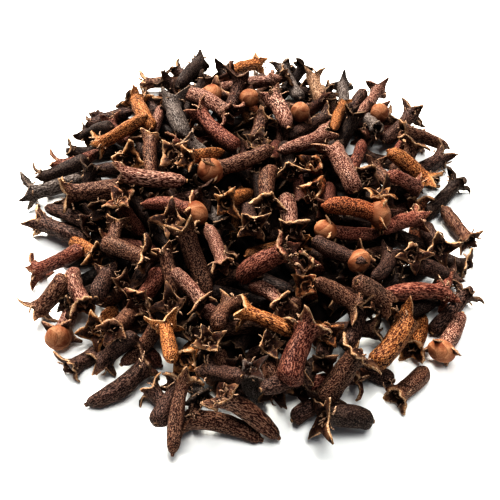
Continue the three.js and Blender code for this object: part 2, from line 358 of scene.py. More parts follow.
def seen_ends(clove):
    """Tail and crown of a clove that shows, in mm, and its length."""
    crown = on_heap(clove.crown, clove.lift)
    flat_tail = on_heap(clove.tail, clove.lift)
    length = float(np.clip(np.linalg.norm(crown - flat_tail), *LENGTH_LIMITS))
    if clove.stand:
        length = STEM_TO_RIM
    eye, ray = camera_place(), ray_through(clove.tail)
    along = float(np.dot(crown - eye, ray))
    aside = np.linalg.norm(crown - eye - along * ray)
    reach = math.sqrt(max(length**2 - aside**2, 0.0))
    near, far = eye + ray * (along - reach), eye + ray * (along + reach)
    if clove.stand:
        tail = far if clove.stand > 0 else near
    else:
        tail = min((near, far), key=lambda end: abs(end[2] - flat_tail[2]))
    tail = crown + (tail - crown) * length / np.linalg.norm(tail - crown)
    return tail, crown, length


def scattered(random, count, depth, inset, rise):
    """Cloves laid at random under the top ones, on a sunflower spiral over the heap's foot."""
    index = np.arange(count) + 0.5
    angle = index * math.pi * (3 - math.sqrt(5)) + random.uniform(0, 2 * math.pi)
    share = np.sqrt(index / count)
    middle = np.stack([np.cos(angle), np.sin(angle)], 1) * share[:, None] * (foot_radius() - inset)
    middle += random.normal(0, PLACE_JITTER, middle.shape)
    height = np.maximum(heap_height(middle[:, 0], middle[:, 1]) - depth, LOW_MIDDLE)
    heading = random.uniform(0, 2 * math.pi, count)
    length = random.normal(STEM_TO_RIM, LENGTH_SPREAD, count)
    slope = random.normal(rise, RISE_SPREAD, count)
    step = np.stack([np.cos(heading), np.sin(heading), slope], 1)
    step /= np.linalg.norm(step, axis=1)[:, None]
    middle = np.column_stack([middle, height])
    half = step * length[:, None] / 2
    return middle - half, middle + half, length


def round_the_foot(random, count):
    """Cloves on the table along the far side of the foot, under the ones that show."""
    share = (np.arange(count) + 0.5) / count
    angle = math.pi * (RIM_ARC[0] + share * (RIM_ARC[1] - RIM_ARC[0]))
    angle += random.normal(0, RIM_JITTER, count)
    middle = np.stack([np.cos(angle), np.sin(angle)], 1) * (foot_radius() - RIM_INSET)
    heading = angle + random.uniform(-RIM_TURN, RIM_TURN, count)
    heading += math.pi * random.integers(0, 2, count)
    length = random.normal(STEM_TO_RIM, LENGTH_SPREAD, count)
    step = np.stack([np.cos(heading), np.sin(heading), 0 * heading], 1)
    middle = np.column_stack([middle, np.full(count, RIM_MIDDLE)])
    half = step * length[:, None] / 2
    return middle - half, middle + half, length


def body_balls(tail, crown):
    """Middles of the balls that stand for each clove, on a straight line from tail to crown."""
    return tail[:, None] + BODY_AT[None, :, None] * (crown - tail)[:, None]


def near_pairs(balls, radius):
    """Indices of the cloves close enough to touch before the pairs are looked for again."""
    middle = balls.mean(1)
    close = np.linalg.norm(middle[:, None] - middle[None], axis=2) < REACH
    first, second = np.nonzero(np.triu(close, 1))
    gap = np.linalg.norm(balls[first][:, :, None] - balls[second][:, None], axis=-1)
    gap -= radius[first][:, :, None] + radius[second][:, None]
    touching = gap.min((1, 2)) < PAIR_MARGIN
    return first[touching], second[touching]


def contact_moves(balls, radius, pairs, weight):
    """How far each ball moves to get out of the other cloves' balls."""
    first, second = pairs
    share = (weight[first] / (weight[first] + weight[second]))[:, None, None, None]
    moves, touches = np.zeros_like(balls), np.zeros(len(balls))
    apart = balls[first][:, :, None] - balls[second][:, None]
    gap = np.sqrt((apart**2).sum(-1)) + 1e-9
    overlap = np.maximum(radius[first][:, :, None] + radius[second][:, None] - gap, 0)
    push = apart * (PUSH * overlap / gap)[..., None]
    np.add.at(moves, first, (push * share).sum(2))
    np.add.at(moves, second, -(push * (1 - share)).sum(1))
    hits = (overlap > 0).sum((1, 2))
    np.add.at(touches, first, hits)
    np.add.at(touches, second, hits)
    return moves / np.maximum(touches / EASE_TOUCHES, 1)[:, None, None]


def settle(tail, crown, length, girth, seen):
    """Lets the cloves sink and push each other apart. A clove that shows slides only along its
    lines of sight, and the others keep their place over the table."""
    count, shows = len(tail), np.arange(len(tail)) < seen
    eye = camera_place()
    rays = np.zeros((2, count, 3))
    for index, clove in enumerate(SEEN_CLOVES):
        rays[0, index], rays[1, index] = ray_through(clove.tail), ray_through(clove.crown)
    spots = np.array([ray_through(pixel) for pixel in FLOOR_SPOTS.values()])
    home = [tail.copy(), crown.copy()]
    radius = BODY_RADIUS[None] * girth[:, None]
    stands = np.array([index < seen and bool(SEEN_CLOVES[index].stand) for index in range(count)])
    weight = np.where(stands, STAND_WEIGHT, np.where(shows, SHOWN_WEIGHT, 1.0))
    for step in range(SETTLE_STEPS):
        if step % PAIR_STEPS == 0:
            pairs = near_pairs(body_balls(tail, crown), radius)
        tail[:, 2] -= DROP
        crown[:, 2] -= DROP
        for _ in range(SETTLE_PASSES):
            balls = body_balls(tail, crown)
            moves = contact_moves(balls, radius, pairs, weight)
            moves[~shows] += spot_push(balls[~shows], radius[~shows], eye, spots)
            floor = np.maximum(0, core_height(balls[..., 0], balls[..., 1]))
            moves[..., 2] += np.maximum(floor + radius - balls[..., 2] - moves[..., 2], 0)
            tail, crown = moved(tail, crown, moves, length)
        for end, (place, start) in enumerate(zip((tail, crown), home)):
            along = ((place - eye) * rays[end]).sum(1)[:, None]
            place[shows] += RAY_PULL * (eye + along * rays[end] - place)[shows]
            place[~shows, :2] += HOLD * (start - place)[~shows, :2]
            place[stands] += STAND_HOLD * (start - place)[stands]
        # The last digits differ from one computer to the next, and would grow.
        tail, crown = np.round(tail, 6), np.round(crown, 6)
    return tail, crown


def spot_push(balls, radius, eye, spots):
    """Sideways moves that keep unseen cloves out of the lines of sight to the table."""
    moves = np.zeros_like(balls)
    for ray in spots:
        along = ((balls - eye) @ ray)[..., None]
        apart = balls - eye - along * ray
        gap = np.linalg.norm(apart, axis=-1) + 1e-9
        depth = np.maximum(radius + FLOOR_SPOT_RADIUS - gap, 0)
        moves += SPOT_PUSH * apart * (depth / gap)[..., None]
    return moves


def moved(tail, crown, moves, length):
    """Both ends after the balls' moves, with each clove's length kept."""
    lever = np.stack([1 - BODY_AT, BODY_AT])
    strength = (lever**2).sum(1)
    tail = tail + (moves * lever[0][None, :, None]).sum(1) / strength[0]
    crown = crown + (moves * lever[1][None, :, None]).sum(1) / strength[1]
    middle, way = (tail + crown) / 2, crown - tail
    way *= (length / np.linalg.norm(way, axis=1))[:, None] / 2
    return middle - way, middle + way


TONES = ("black", "dark", "brown", "red", "plum", "grey", "ochre", "rust", "pale")
TONE_SHARES = (0.16, 0.24, 0.25, 0.16, 0.08, 0.03, 0.05, 0.015, 0.015)  # of the cloves that don't show
GOLD_SHARE = {  # the most golden that a tone's edges are
    "black": 0.4,
    "dark": 0.6,
    "brown": 0.9,
    "red": 0.95,
    "plum": 0.8,
    "grey": 0.3,
    "ochre": 1.1,
    "rust": 1.1,
    "pale": 0.6,
}
GOLD_LEAN = 1.3  # over 1 most edges are less golden than halfway
SEEN_SHADE = 0.3  # how much of the random shade a clove that shows keeps
ROLLS = 12  # turns about its axis that are tried for a clove near the table
LOW_CROWN = 7.0  # mm, a crown under this may touch the table
TIP_GAP = 0.15  # mm left between the table and the lowest tip


def pick_forms(random, count):
    """A form for each clove: of its own habit if it shows, or of any open one."""
    numbers = {}
    for form in clove_forms(SIDES):
        numbers.setdefault(form.habit, []).append(form.number)
    opened = [number for habit in HABITS for number in numbers[habit]]
    chosen = random.choice(opened, count)
    for index, clove in enumerate(SEEN_CLOVES):
        if clove.habit:
            chosen[index] = random.choice(numbers[clove.habit])
    return chosen


def lowest_tip(tail, crown, girth, tips, roll):
    """Height of the lowest sepal tip of a clove that is turned by roll about its axis."""
    way = Vector(crown - tail)
    turn = way.to_track_quat("Z", "Y").to_matrix() @ Matrix.Rotation(roll, 3, "Z")
    stretch = way.length / STEM_TO_RIM
    return min((turn @ Vector((x * girth, y * girth, z * stretch))).z for x, y, z in tips) + tail[2]


def rest_on_table(tail, crown, girth, forms, roll):
    """Turns the cloves near the table so that no sepal runs into it, and lifts the crown of one
    that still would."""
    tips = {form.number: sepal_tips(form) for form in clove_forms(SIDES)}
    for index in np.nonzero(crown[:, 2] < LOW_CROWN)[0]:
        lies = (tail[index], crown[index], girth[index], tips[forms[index]])
        turns = [roll[index] + step * 2 * math.pi / ROLLS for step in range(ROLLS)]
        heights = [lowest_tip(*lies, turn) for turn in turns]
        clear = [turn for turn, height in zip(turns, heights) if height > TIP_GAP]
        roll[index] = clear[0] if clear else turns[int(np.argmax(heights))]
        if not clear:
            length = np.linalg.norm(crown[index] - tail[index])
            crown[index, 2] += TIP_GAP - max(heights)
            way = crown[index] - tail[index]
            crown[index] = tail[index] + way * length / np.linalg.norm(way)


@functools.lru_cache(maxsize=1)
def layout():
    """Where every clove lies, in mm, after it has settled."""
    counts = bpy.context.scene.heap_sizes
    random = np.random.default_rng(SEED)
    ends = [seen_ends(clove) for clove in SEEN_CLOVES]
    seen = [np.array(column) for column in zip(*ends)]
    groups = [
        seen,
        scattered(random, counts.fill_cloves, FILL_DEPTH, FILL_INSET, FILL_RISE),
        round_the_foot(random, counts.rim_cloves),
        scattered(random, counts.under_cloves, UNDER_DEPTH, UNDER_INSET, UNDER_RISE),
    ]
    tail, crown, length = (np.concatenate(column) for column in zip(*groups))
    layer = np.repeat(np.arange(len(groups)), [len(group[0]) for group in groups])
    girth = np.clip(random.normal(GIRTH, GIRTH_SPREAD, len(tail)), *GIRTH_LIMITS)
    tones = random.choice(TONES, len(tail), p=TONE_SHARES)
    tones[: len(SEEN_CLOVES)] = [clove.tone for clove in SEEN_CLOVES]
    roll = random.uniform(0, 2 * math.pi, len(tail))
    forms = pick_forms(random, len(tail))
    gold = random.uniform(0.0, 1.0, len(tail)) ** GOLD_LEAN * [GOLD_SHARE[tone] for tone in tones]
    shade = random.uniform(-1, 1, len(tail))
    for index, clove in enumerate(SEEN_CLOVES):
        girth[index] = clove.girth
        shade[index] = SEEN_SHADE * shade[index] + clove.shade
        if clove.gold >= 0:
            gold[index] = clove.gold
    tail, crown = settle(tail, crown, length, girth, len(SEEN_CLOVES))
    rest_on_table(tail, crown, girth, forms, roll)
    return Layout(tail, crown, girth, tones, forms, layer, roll, gold, shade)


# ---------------------------------------------------------------- clove shapes

SIDES = 32  # round a clove that shows, eight to a sepal
UNDER_SIDES = 16
SEPALS = 4
STEM_HEIGHTS = (0.0, 0.2, 0.34, 0.5, 0.8, 1.3, 2.1, 3.4, 4.8, 6.3, 7.8, 9.2, 10.3, 11.0)  # mm
UNDER_HEIGHTS = (0.0, 0.34, 0.8, 2.1, 4.2, 6.4, 8.6, 10.4)
NUB_RADIUS = 0.4  # mm, of the scar where the bud was picked
BODY_START = 0.3  # mm over the tail
BODY_BLUNT = 0.8  # under 1 the body swells fast at first
WAIST_AT = 0.6  # share of the stem's height round which its waist thins or swells it
NECK_AT = 9.7  # mm over the tail
NECK_WIDE = 1.0  # mm
NECK_DEEP = 0.09  # share of the radius
FLARE_FROM = 9.9  # mm over the tail
RIM_HEIGHT = 11.5  # mm, where the sepals spring from
SEPAL_THICK = 1.05  # mm at the root
EDGE_THICK = 0.34
VALLEY = (0.05, 0.5)  # mm, what is left between two sepals
OUTER_SHARES = (0.0, 0.28, 0.55, 0.8, 1.0)
INNER_SHARES = (1.0, 0.72, 0.42, 0.12)
CUP_RINGS = [  # radius, height from the rim, and how far it counts as from a sepal's edge, mm
    (1.42, -0.75, -4.0), (1.2, -0.22, -0.15), (0.95, -0.28, -0.3), (0.7, -0.95, -4.0),
]  # fmt: skip
CUP_FLOOR = RIM_HEIGHT - 1.0
LUMP_MM = (2.1, 0.9)  # sizes of the stem's lumps and of its wrinkles across
LUMP_DEEP = (0.22, 0.11)
CRINKLE_MM = (1.2, 0.55)  # of the crown
CRINKLE_DEEP = (0.26, 0.16)
RAGGED = (0.09, 0.13)  # of a sepal's edge: share of its length, and mm out of its plane
FOLD_DEEP = 0.8  # mm, of a fold of size 1 along a sepal
REACH_SPREAD = 0.13  # of the sepals' lengths
BROKEN_SHARE = 0.17  # of the sepals, broken off short
BROKEN_REACH = (0.3, 0.6)  # share that is left of one
STAMENS = (5, 15)  # in an open crown, up to one less than the last
STYLE_RADII = (0.3, 0.19, 0.13)  # mm, from its foot to its tip
STAMEN_RADII = np.array([0.14, 0.14, 0.12, 0.16, 0.08])
STAMEN_LENGTH = (1.0, 2.9)  # mm
STAMEN_STEPS = 4
STAMEN_FOOT = (0.9, 1.35)  # mm from the axis
STYLE_SIDES, STAMEN_SIDES = 6, 4
STYLE_MARK, STAMEN_MARK = 0.5, 0.9  # how much like a pale stamen each is
EXTRAS_SEED = 1000
# Parts of a clove's UV square: the skin below, and above it the ball or the style and stamens.
SKIN_STRIP = ((0.01, 0.01), (0.99, 0.84))
EXTRAS_STRIP = (0.86, 0.99)  # its lower and upper border
STYLE_STRIP = ((0.01, EXTRAS_STRIP[0]), (0.09, EXTRAS_STRIP[1]))
BALL_STRIP = ((0.01, EXTRAS_STRIP[0]), (0.99, EXTRAS_STRIP[1]))
BALL_RISE = {"collar": 1.45, "clasp": 0.95, "bud": 0.95}  # mm from the rim to its middle
BALL_FLAT = 0.95  # its height for its width
PETAL_STEP = 0.06  # how far one petal's edge stands over the next, as a share of the radius
BALL_SIDES, BALL_RINGS = 36, 14
UNDER_BALL = (12, 6)  # the same of a simpler clove
BALL_MARK = 2.0  # value that marks the middle of a ball of petals
PETAL_TWIST = 0.8  # petals the edges of the ball's petals wind round from pole to middle
NOISE_FAR = 40.0  # mm between the noise of two forms

# How the sepals stand: their slope from the axis and how much they bend on, in degrees, each with
# its spread, their length, and how pointed they are: over 1 their sides are hollow.
Habit = namedtuple("Habit", "slope slope_spread bend bend_spread reach point")
HABITS = {
    "star": Habit(60, 13, 14, 20, 1.0, (0.85, 1.35)),
    "claw": Habit(42, 15, 58, 32, 1.2, (0.8, 1.45)),
    "cup": Habit(28, 12, 30, 22, 0.95, (0.7, 1.1)),
    "rolled": Habit(66, 16, -50, 26, 1.0, (0.7, 1.15)),
    "torn": Habit(52, 26, 10, 60, 0.9, (0.8, 1.7)),
}
BALL_HABITS = {
    "collar": Habit(86, 8, 22, 14, 1.0, (0.7, 1.1)),
    "clasp": Habit(58, 6, -38, 10, 1.1, (0.6, 0.9)),
    "bud": Habit(50, 5, -72, 8, 1.5, (0.6, 0.9)),
}
FORMS_OF_A_HABIT = 4
BALL_FORMS = 2
UNDER_FORMS = 1

# One clove's own measures: its number and habit, then its sepals', then its stem's, then how ragged
# its edges are and how many stamens it keeps.
FORM_FIELDS = (
    "number habit reach slopes bends pinch fold point valley "
    "stem_bend section taper waist ragged stamens"
)
Form = namedtuple("Form", FORM_FIELDS)
Shape = namedtuple("Shape", "points faces uvs rim_mm petal place")


def clove_size(name):
    """A length that is set for a clove, in mm."""
    return getattr(bpy.context.scene.clove_sizes, name) / MM


def radial(angle):
    """Outward directions in the stem's plane."""
    return np.stack([np.cos(angle), np.sin(angle), 0 * angle], -1)


def new_form(random, number, habit, measures):
    """One clove's measures. Some of its sepals are broken off short."""
    reach = clove_size("sepal_length") * measures.reach * random.normal(1, REACH_SPREAD, SEPALS)
    broken = random.random(SEPALS) < (0 if habit in BALL_HABITS else BROKEN_SHARE)
    reach[broken] *= random.uniform(*BROKEN_REACH, SEPALS)[broken]
    return Form(
        number=number,
        habit=habit,
        reach=reach,
        slopes=np.radians(random.normal(measures.slope, measures.slope_spread, SEPALS)),
        bends=np.radians(random.normal(measures.bend, measures.bend_spread, SEPALS)),
        pinch=random.uniform(0.0, 0.45, SEPALS),
        fold=random.uniform(-0.6, 0.6, SEPALS),
        point=random.uniform(*measures.point, SEPALS),
        valley=random.uniform(*VALLEY),
        stem_bend=random.normal(0, 0.42, 2),
        section=(random.uniform(0, 0.1), random.uniform(0.01, 0.06), random.uniform(0, math.pi)),
        taper=random.uniform(0.25, 0.85),
        waist=random.uniform(-0.25, 0.2),
        ragged=random.normal(0, 1, (2, SIDES)),
        stamens=0 if habit in BALL_HABITS else int(random.integers(*STAMENS)),
    )


@functools.lru_cache(maxsize=2)
def clove_forms(sides):
    """Every form of a clove, by habit."""
    random = np.random.default_rng(SEED + sides)
    forms = []
    for habits, count in ((HABITS, FORMS_OF_A_HABIT), (BALL_HABITS, BALL_FORMS)):
        if sides != SIDES:
            count = UNDER_FORMS
        for habit, measures in habits.items():
            for _ in range(count):
                forms.append(new_form(random, len(forms), habit, measures))
    return tuple(forms)


def ring_grid(count, sides, first_row, row_total):
    """Quads between rings of points, and a UV for each corner."""
    row, column = np.meshgrid(np.arange(count - 1), np.arange(sides), indexing="ij")
    row, column = row.ravel(), column.ravel()
    after = (column + 1) % sides
    low, high = row * sides, (row + 1) * sides
    faces = np.stack([low + column, low + after, high + after, high + column], 1)
    left, right = column / sides, (column + 1) / sides
    down, up = (row + first_row) / row_total, (row + 1 + first_row) / row_total
    corners = ((left, down), (right, down), (right, up), (left, up))
    uvs = np.stack([np.stack(corner, 1) for corner in corners], 1)
    return faces.tolist(), uvs.tolist()


def closed_rings(rings, strip, start=None, end=None):
    """Points, faces and UVs of a skin through rings, closed by a point at each end. The UVs fill
    the strip, given by two opposite corners."""
    count, sides = rings.shape[:2]
    ends = [rings[0].mean(0) if start is None else start, rings[-1].mean(0) if end is None else end]
    points = np.concatenate([rings.reshape(-1, 3), ends])
    faces, uvs = ring_grid(count, sides, 0.5, count)
    first, last, top = len(points) - 2, len(points) - 1, (count - 1) * sides
    low, high = 0.5 / count, 1 - 0.5 / count
    for side in range(sides):
        after, left, right = (side + 1) % sides, side / sides, (side + 1) / sides
        faces.append([first, after, side])
        uvs.append([((left + right) / 2, 0.0), (right, low), (left, low)])
        faces.append([last, top + side, top + after])
        uvs.append([((left + right) / 2, 1.0), (left, high), (right, high)])
    (left, low), (right, high) = strip
    uvs = [[(left + (right - left) * u, low + (high - low) * v) for u, v in corners] for corners in uvs]
    return points, faces, uvs


def tube(path, radii, sides, strip):
    """A closed thin tube along a path, for the style and the stamens."""
    path = np.asarray(path, float)
    way = np.gradient(path, axis=0)
    way /= np.linalg.norm(way, axis=1)[:, None]
    across = np.cross(way, [0.31, 0.87, 0.38])
    across /= np.linalg.norm(across, axis=1)[:, None]
    other = np.cross(way, across)
    angle = np.arange(sides) / sides * 2 * math.pi
    cosine, sine = np.cos(angle)[None, :, None], np.sin(angle)[None, :, None]
    turned = cosine * across[:, None] + sine * other[:, None]
    return closed_rings(path[:, None] + np.asarray(radii)[:, None, None] * turned, strip)


def stem_radius(height, form):
    """Radius of the stem over its tail: a nub, a blunt or tapered end, a neck and the flare."""
    body_height = max(height - BODY_START, 0.0)
    body = clove_size("stem_radius") * (1 - np.exp(-((body_height / form.taper) ** BODY_BLUNT)))
    body *= 1 + form.waist * (height / RIM_HEIGHT - WAIST_AT)
    body *= 1 - NECK_DEEP * math.exp(-(((height - NECK_AT) / NECK_WIDE) ** 2))
    flare = max(0.0, (height - FLARE_FROM) / (RIM_HEIGHT - FLARE_FROM)) ** 2
    nub = NUB_RADIUS * min(1.0, 0.8 + height)
    return max(nub, body + (clove_size("rim_radius") - body) * flare)


def stem_lumps(points, number):
    """How far the stem's skin stands out or sinks, in mm."""
    shift = Vector((number * NOISE_FAR, 0, 0))
    out = np.empty(len(points))
    for index, point in enumerate(points):
        spot = Vector(point)
        wrinkle = Vector((spot.x / LUMP_MM[1], spot.y / LUMP_MM[1], spot.z / (3 * LUMP_MM[1])))
        out[index] = LUMP_DEEP[0] * noise.noise(spot / LUMP_MM[0] + shift)
        out[index] += LUMP_DEEP[1] * noise.noise(wrinkle - shift)
    return out


def crinkled(points, number):
    """Moves of the crown's skin, which dried uneven, in mm."""
    noise.seed_set(SEED)  # without it noise_vector starts from the time of day
    shift = Vector((0, number * NOISE_FAR, 0))
    moves = np.zeros((len(points), 3))
    for width, deep in zip(CRINKLE_MM, CRINKLE_DEEP):
        moves += [tuple(deep * noise.noise_vector(Vector(point) / width + shift)) for point in points]
    return moves


def crown_rings(form, sides):
    """The crown's outer and inner skin, ring by ring, each with its distance from the sepals'
    edge: more than 0 outside, less inside."""
    angle = np.arange(sides) / sides * 2 * math.pi
    per_sepal = sides // SEPALS
    which = (np.arange(sides) + per_sepal // 2) // per_sepal % SEPALS
    middle = which * (2 * math.pi / SEPALS)
    aside = ((angle - middle + math.pi) % (2 * math.pi) - math.pi) / (math.pi / SEPALS)
    length = form.reach[which]
    reach = length * np.maximum(1 - np.abs(aside), 0) ** form.point[which] + form.valley
    ragged = form.ragged[:, :: SIDES // sides]
    reach = reach * (1 + RAGGED[0] * ragged[0])
    outward, sideways = radial(middle), radial(middle + math.pi / 2)
    base = radial(angle) * clove_size("rim_radius") + [0, 0, RIM_HEIGHT]
    lateral = (base * sideways).sum(1)
    steps = np.linspace(0, 1, 24)
    slope = form.slopes[which][:, None] + form.bends[which][:, None] * steps
    step = (length / (len(steps) - 1))[:, None]
    none = np.zeros((sides, 1))
    out = np.concatenate([none, np.cumsum(np.sin(slope) * step, 1)[:, :-1]], 1)
    rise = np.concatenate([none, np.cumsum(np.cos(slope) * step, 1)[:, :-1]], 1)

    def skin(share, inner):
        along = np.minimum(share * reach / length, 1)
        at_out = np.array([np.interp(along[i], steps, out[i]) for i in range(sides)])
        at_rise = np.array([np.interp(along[i], steps, rise[i]) for i in range(sides)])
        here = form.slopes[which] + form.bends[which] * along
        inward = -np.cos(here)[:, None] * outward
        inward[:, 2] += np.sin(here)
        point = base + at_out[:, None] * outward
        point[:, 2] += at_rise
        point -= (lateral * form.pinch[which] * along)[:, None] * sideways
        drop = form.fold[which] * aside**2 * share * FOLD_DEEP + RAGGED[1] * ragged[1] * share**2
        point -= drop[:, None] * inward
        if not inner:
            return point, reach * (1 - share)
        fullness = (1 - aside**2) * (1 - 0.6 * along) * math.sqrt(1 - share**2)
        thick = EDGE_THICK + (SEPAL_THICK - EDGE_THICK) * fullness
        return point + inward * thick[:, None], -reach * (1 - share)

    outer = [skin(share, False) for share in OUTER_SHARES]
    return outer + [skin(share, True) for share in INNER_SHARES]


def sepal_tips(form):
    """The four tips of a form's sepals, in mm."""
    tips = crown_rings(form, SEPALS * 2)[len(OUTER_SHARES) - 1][0]
    return tips[::2]


def clove_shape(form, sides=SIDES):
    """A whole dried clove, its tail at the origin and standing along +Z, in mm."""
    angle = np.arange(sides) / sides * 2 * math.pi
    flat, square, turn = form.section
    round_out = 1 + flat * np.cos(2 * (angle - turn)) + square * np.cos(4 * (angle - turn))
    heights = STEM_HEIGHTS if sides == SIDES else UNDER_HEIGHTS
    rings, rim_mm = [], []
    for height in heights:
        ring = radial(angle) * (stem_radius(height, form) * round_out)[:, None]
        ring[:, 2] = height
        rings.append(ring)
        rim_mm.append(np.full(sides, RIM_HEIGHT - height + 1.0))
    for ring, edge in crown_rings(form, sides):
        rings.append(ring)
        rim_mm.append(edge)
    for radius, rise, edge in CUP_RINGS:
        ring = radial(angle) * (radius * (1 + 0.1 * np.cos(4 * angle)))[:, None]
        ring[:, 2] = RIM_HEIGHT + rise
        rings.append(ring)
        rim_mm.append(np.full(sides, edge))
    place = np.concatenate(rings)
    away = place * [1, 1, 0] / (np.linalg.norm(place[:, :2], axis=1)[:, None] + 1e-6)
    lumps = stem_lumps(place, form.number) * np.clip(place[:, 2] * 2, 0.1, 1)
    in_stem = (np.arange(len(place)) < (len(heights) + 1) * sides)[:, None]
    place += np.where(in_stem, away * lumps[:, None], crinkled(place, form.number))
    floor = np.array([0, 0, CUP_FLOOR])
    rings = place.reshape(len(rings), sides, 3)
    points, faces, uvs = closed_rings(rings, SKIN_STRIP, np.zeros(3), floor)
    rim_mm = np.concatenate([*rim_mm, [RIM_HEIGHT, -4.0]])
    petal = np.zeros(len(points))
    for extra_points, extra_faces, extra_uvs, amount in crown_extras(form, sides):
        offset = len(points)
        points = np.concatenate([points, extra_points])
        petal = np.concatenate([petal, np.broadcast_to(amount, len(extra_points))])
        rim_mm = np.concatenate([rim_mm, np.full(len(extra_points), 3.0)])
        faces += [[index + offset for index in face] for face in extra_faces]
        uvs += extra_uvs
    place = points.copy()
    lean = np.sin(points[:, 2] / STEM_TO_RIM * math.pi)
    points[:, :2] += form.stem_bend * lean[:, None]
    return Shape(points, faces, uvs, rim_mm, petal, place)


def crown_extras(form, sides):
    """What stands in the crown: a ball of petals, or the style and the stamens round it."""
    random = np.random.default_rng(EXTRAS_SEED + form.number)
    if form.habit in BALL_HABITS:
        return [petal_ball(form, sides)]
    if sides != SIDES:
        return []
    lean = np.append(random.normal(0, 0.2, 2), 0)
    low, middle, high = CUP_FLOOR - 0.1, CUP_FLOOR + 0.8, CUP_FLOOR + 1.9
    path = [[0, 0, low], lean + [0, 0, middle], 2.2 * lean + [0, 0, high]]
    extras = [(*tube(path, STYLE_RADII, STYLE_SIDES, STYLE_STRIP), STYLE_MARK)]
    for index in range(form.stamens):
        heading = random.uniform(0, 2 * math.pi)
        turn = heading + random.normal(0, 1.2)
        pitch = random.uniform(-0.1, 1.2)
        length = random.uniform(*STAMEN_LENGTH)
        foot = radial(np.array(heading)) * random.uniform(*STAMEN_FOOT)
        path = [foot + [0, 0, RIM_HEIGHT - 0.35]]
        for _ in range(STAMEN_STEPS):
            way = radial(np.array(turn)) * math.cos(pitch) + [0, 0, math.sin(pitch)]
            path.append(path[-1] + way * length / STAMEN_STEPS)
            turn += random.normal(0, 0.5)
            pitch += random.normal(-0.1, 0.4)
        left = 0.11 + 0.07 * index
        strip = ((left, EXTRAS_STRIP[0]), (left + 0.06, EXTRAS_STRIP[1]))
        thin = random.uniform(0.9, 1.6) * STAMEN_RADII
        extras.append((*tube(path, thin, STAMEN_SIDES, strip), STAMEN_MARK))
    return extras


def petal_ball(form, sides):
    """Four petals folded over each other into a ball that sits in the crown."""
    around, up = (BALL_SIDES, BALL_RINGS) if sides == SIDES else UNDER_BALL
    angle = np.arange(around) / around * 2 * math.pi
    size = clove_size("ball_radius")
    middle = RIM_HEIGHT + BALL_RISE[form.habit]
    rings = []
    for row in range(1, up):
        polar = math.pi * (1 - row / up)
        lap = ((angle / (2 * math.pi) * SEPALS + PETAL_TWIST * math.cos(polar)) % 1.0) - 0.5
        radius = size * math.sin(polar) * (1 + PETAL_STEP * lap)
        ring = radial(angle) * radius[:, None]
        ring[:, 2] = middle + size * BALL_FLAT * math.cos(polar)
        rings.append(ring)
    low, high = np.array([0, 0, middle - size * BALL_FLAT]), np.array([0, 0, middle + size])
    points, faces, uvs = closed_rings(np.array(rings), BALL_STRIP, low, high)
    return points, faces, uvs, BALL_MARK + (points[:, 2] - middle) / (size * BALL_FLAT)


# ---------------------------------------------------------------- meshes and their attributes

UV_MAP = "OFBake"
PLACE = "clove_place"
RIM = "rim_mm"
PETAL = "petal"
SEED_AT = "clove_seed"
# How light a clove is: its own tone, with painted light and shade, and painted shade deep in the heap.
SHADE = "clove_shade"
GILT = "clove_gilt"
TURN, SIZE, PICK, CELL = "clove_turn", "clove_size", "clove_pick", "clove_cell"
# Painted shade: the deeper a clove lies under the top cloves, the darker its skin.
DEEP_SHADE = 7.0  # mm under the top cloves where the skins are darkest
SEEN_PAINTED_SHADE, UNSEEN_PAINTED_SHADE = 0.6, 2.0  # how much darker the skins are there
PATTERN_SPAN = 200.0  # mm, over which each clove takes its own part of a pattern


def add_values(mesh, name, kind, domain, values):
    """Stores one value for each point or corner."""
    attribute = mesh.attributes.new(name, kind, domain)
    field = "vector" if kind in ("FLOAT_VECTOR", "FLOAT2") else "value"
    attribute.data.foreach_set(field, np.asarray(values).ravel())


def shape_object(name, shape):
    """A mesh object of one clove form, in metres."""
    mesh = bpy.data.meshes.new(name)
    mesh.from_pydata(shape.points * MM, [], shape.faces)
    mesh.shade_smooth()
    uv = mesh.uv_layers.new(name=UV_MAP)
    uv.data.foreach_set("uv", np.array([corner for face in shape.uvs for corner in face]).ravel())
    add_values(mesh, RIM, "FLOAT", "POINT", shape.rim_mm.astype(float))
    add_values(mesh, PETAL, "FLOAT", "POINT", shape.petal)
    add_values(mesh, PLACE, "FLOAT_VECTOR", "POINT", shape.place)
    return bpy.data.objects.new(name, mesh)


@functools.lru_cache(maxsize=2)
def forms_collection(sides):
    """The clove forms that the heap's cloves are picked from. It isn't part of the scene."""
    holder = bpy.data.collections.new(f"clove_forms_{sides}")
    for form in clove_forms(sides):
        name = f"clove_form_{sides}_{form.number:02d}"
        holder.objects.link(shape_object(name, clove_shape(form, sides)))
    return holder


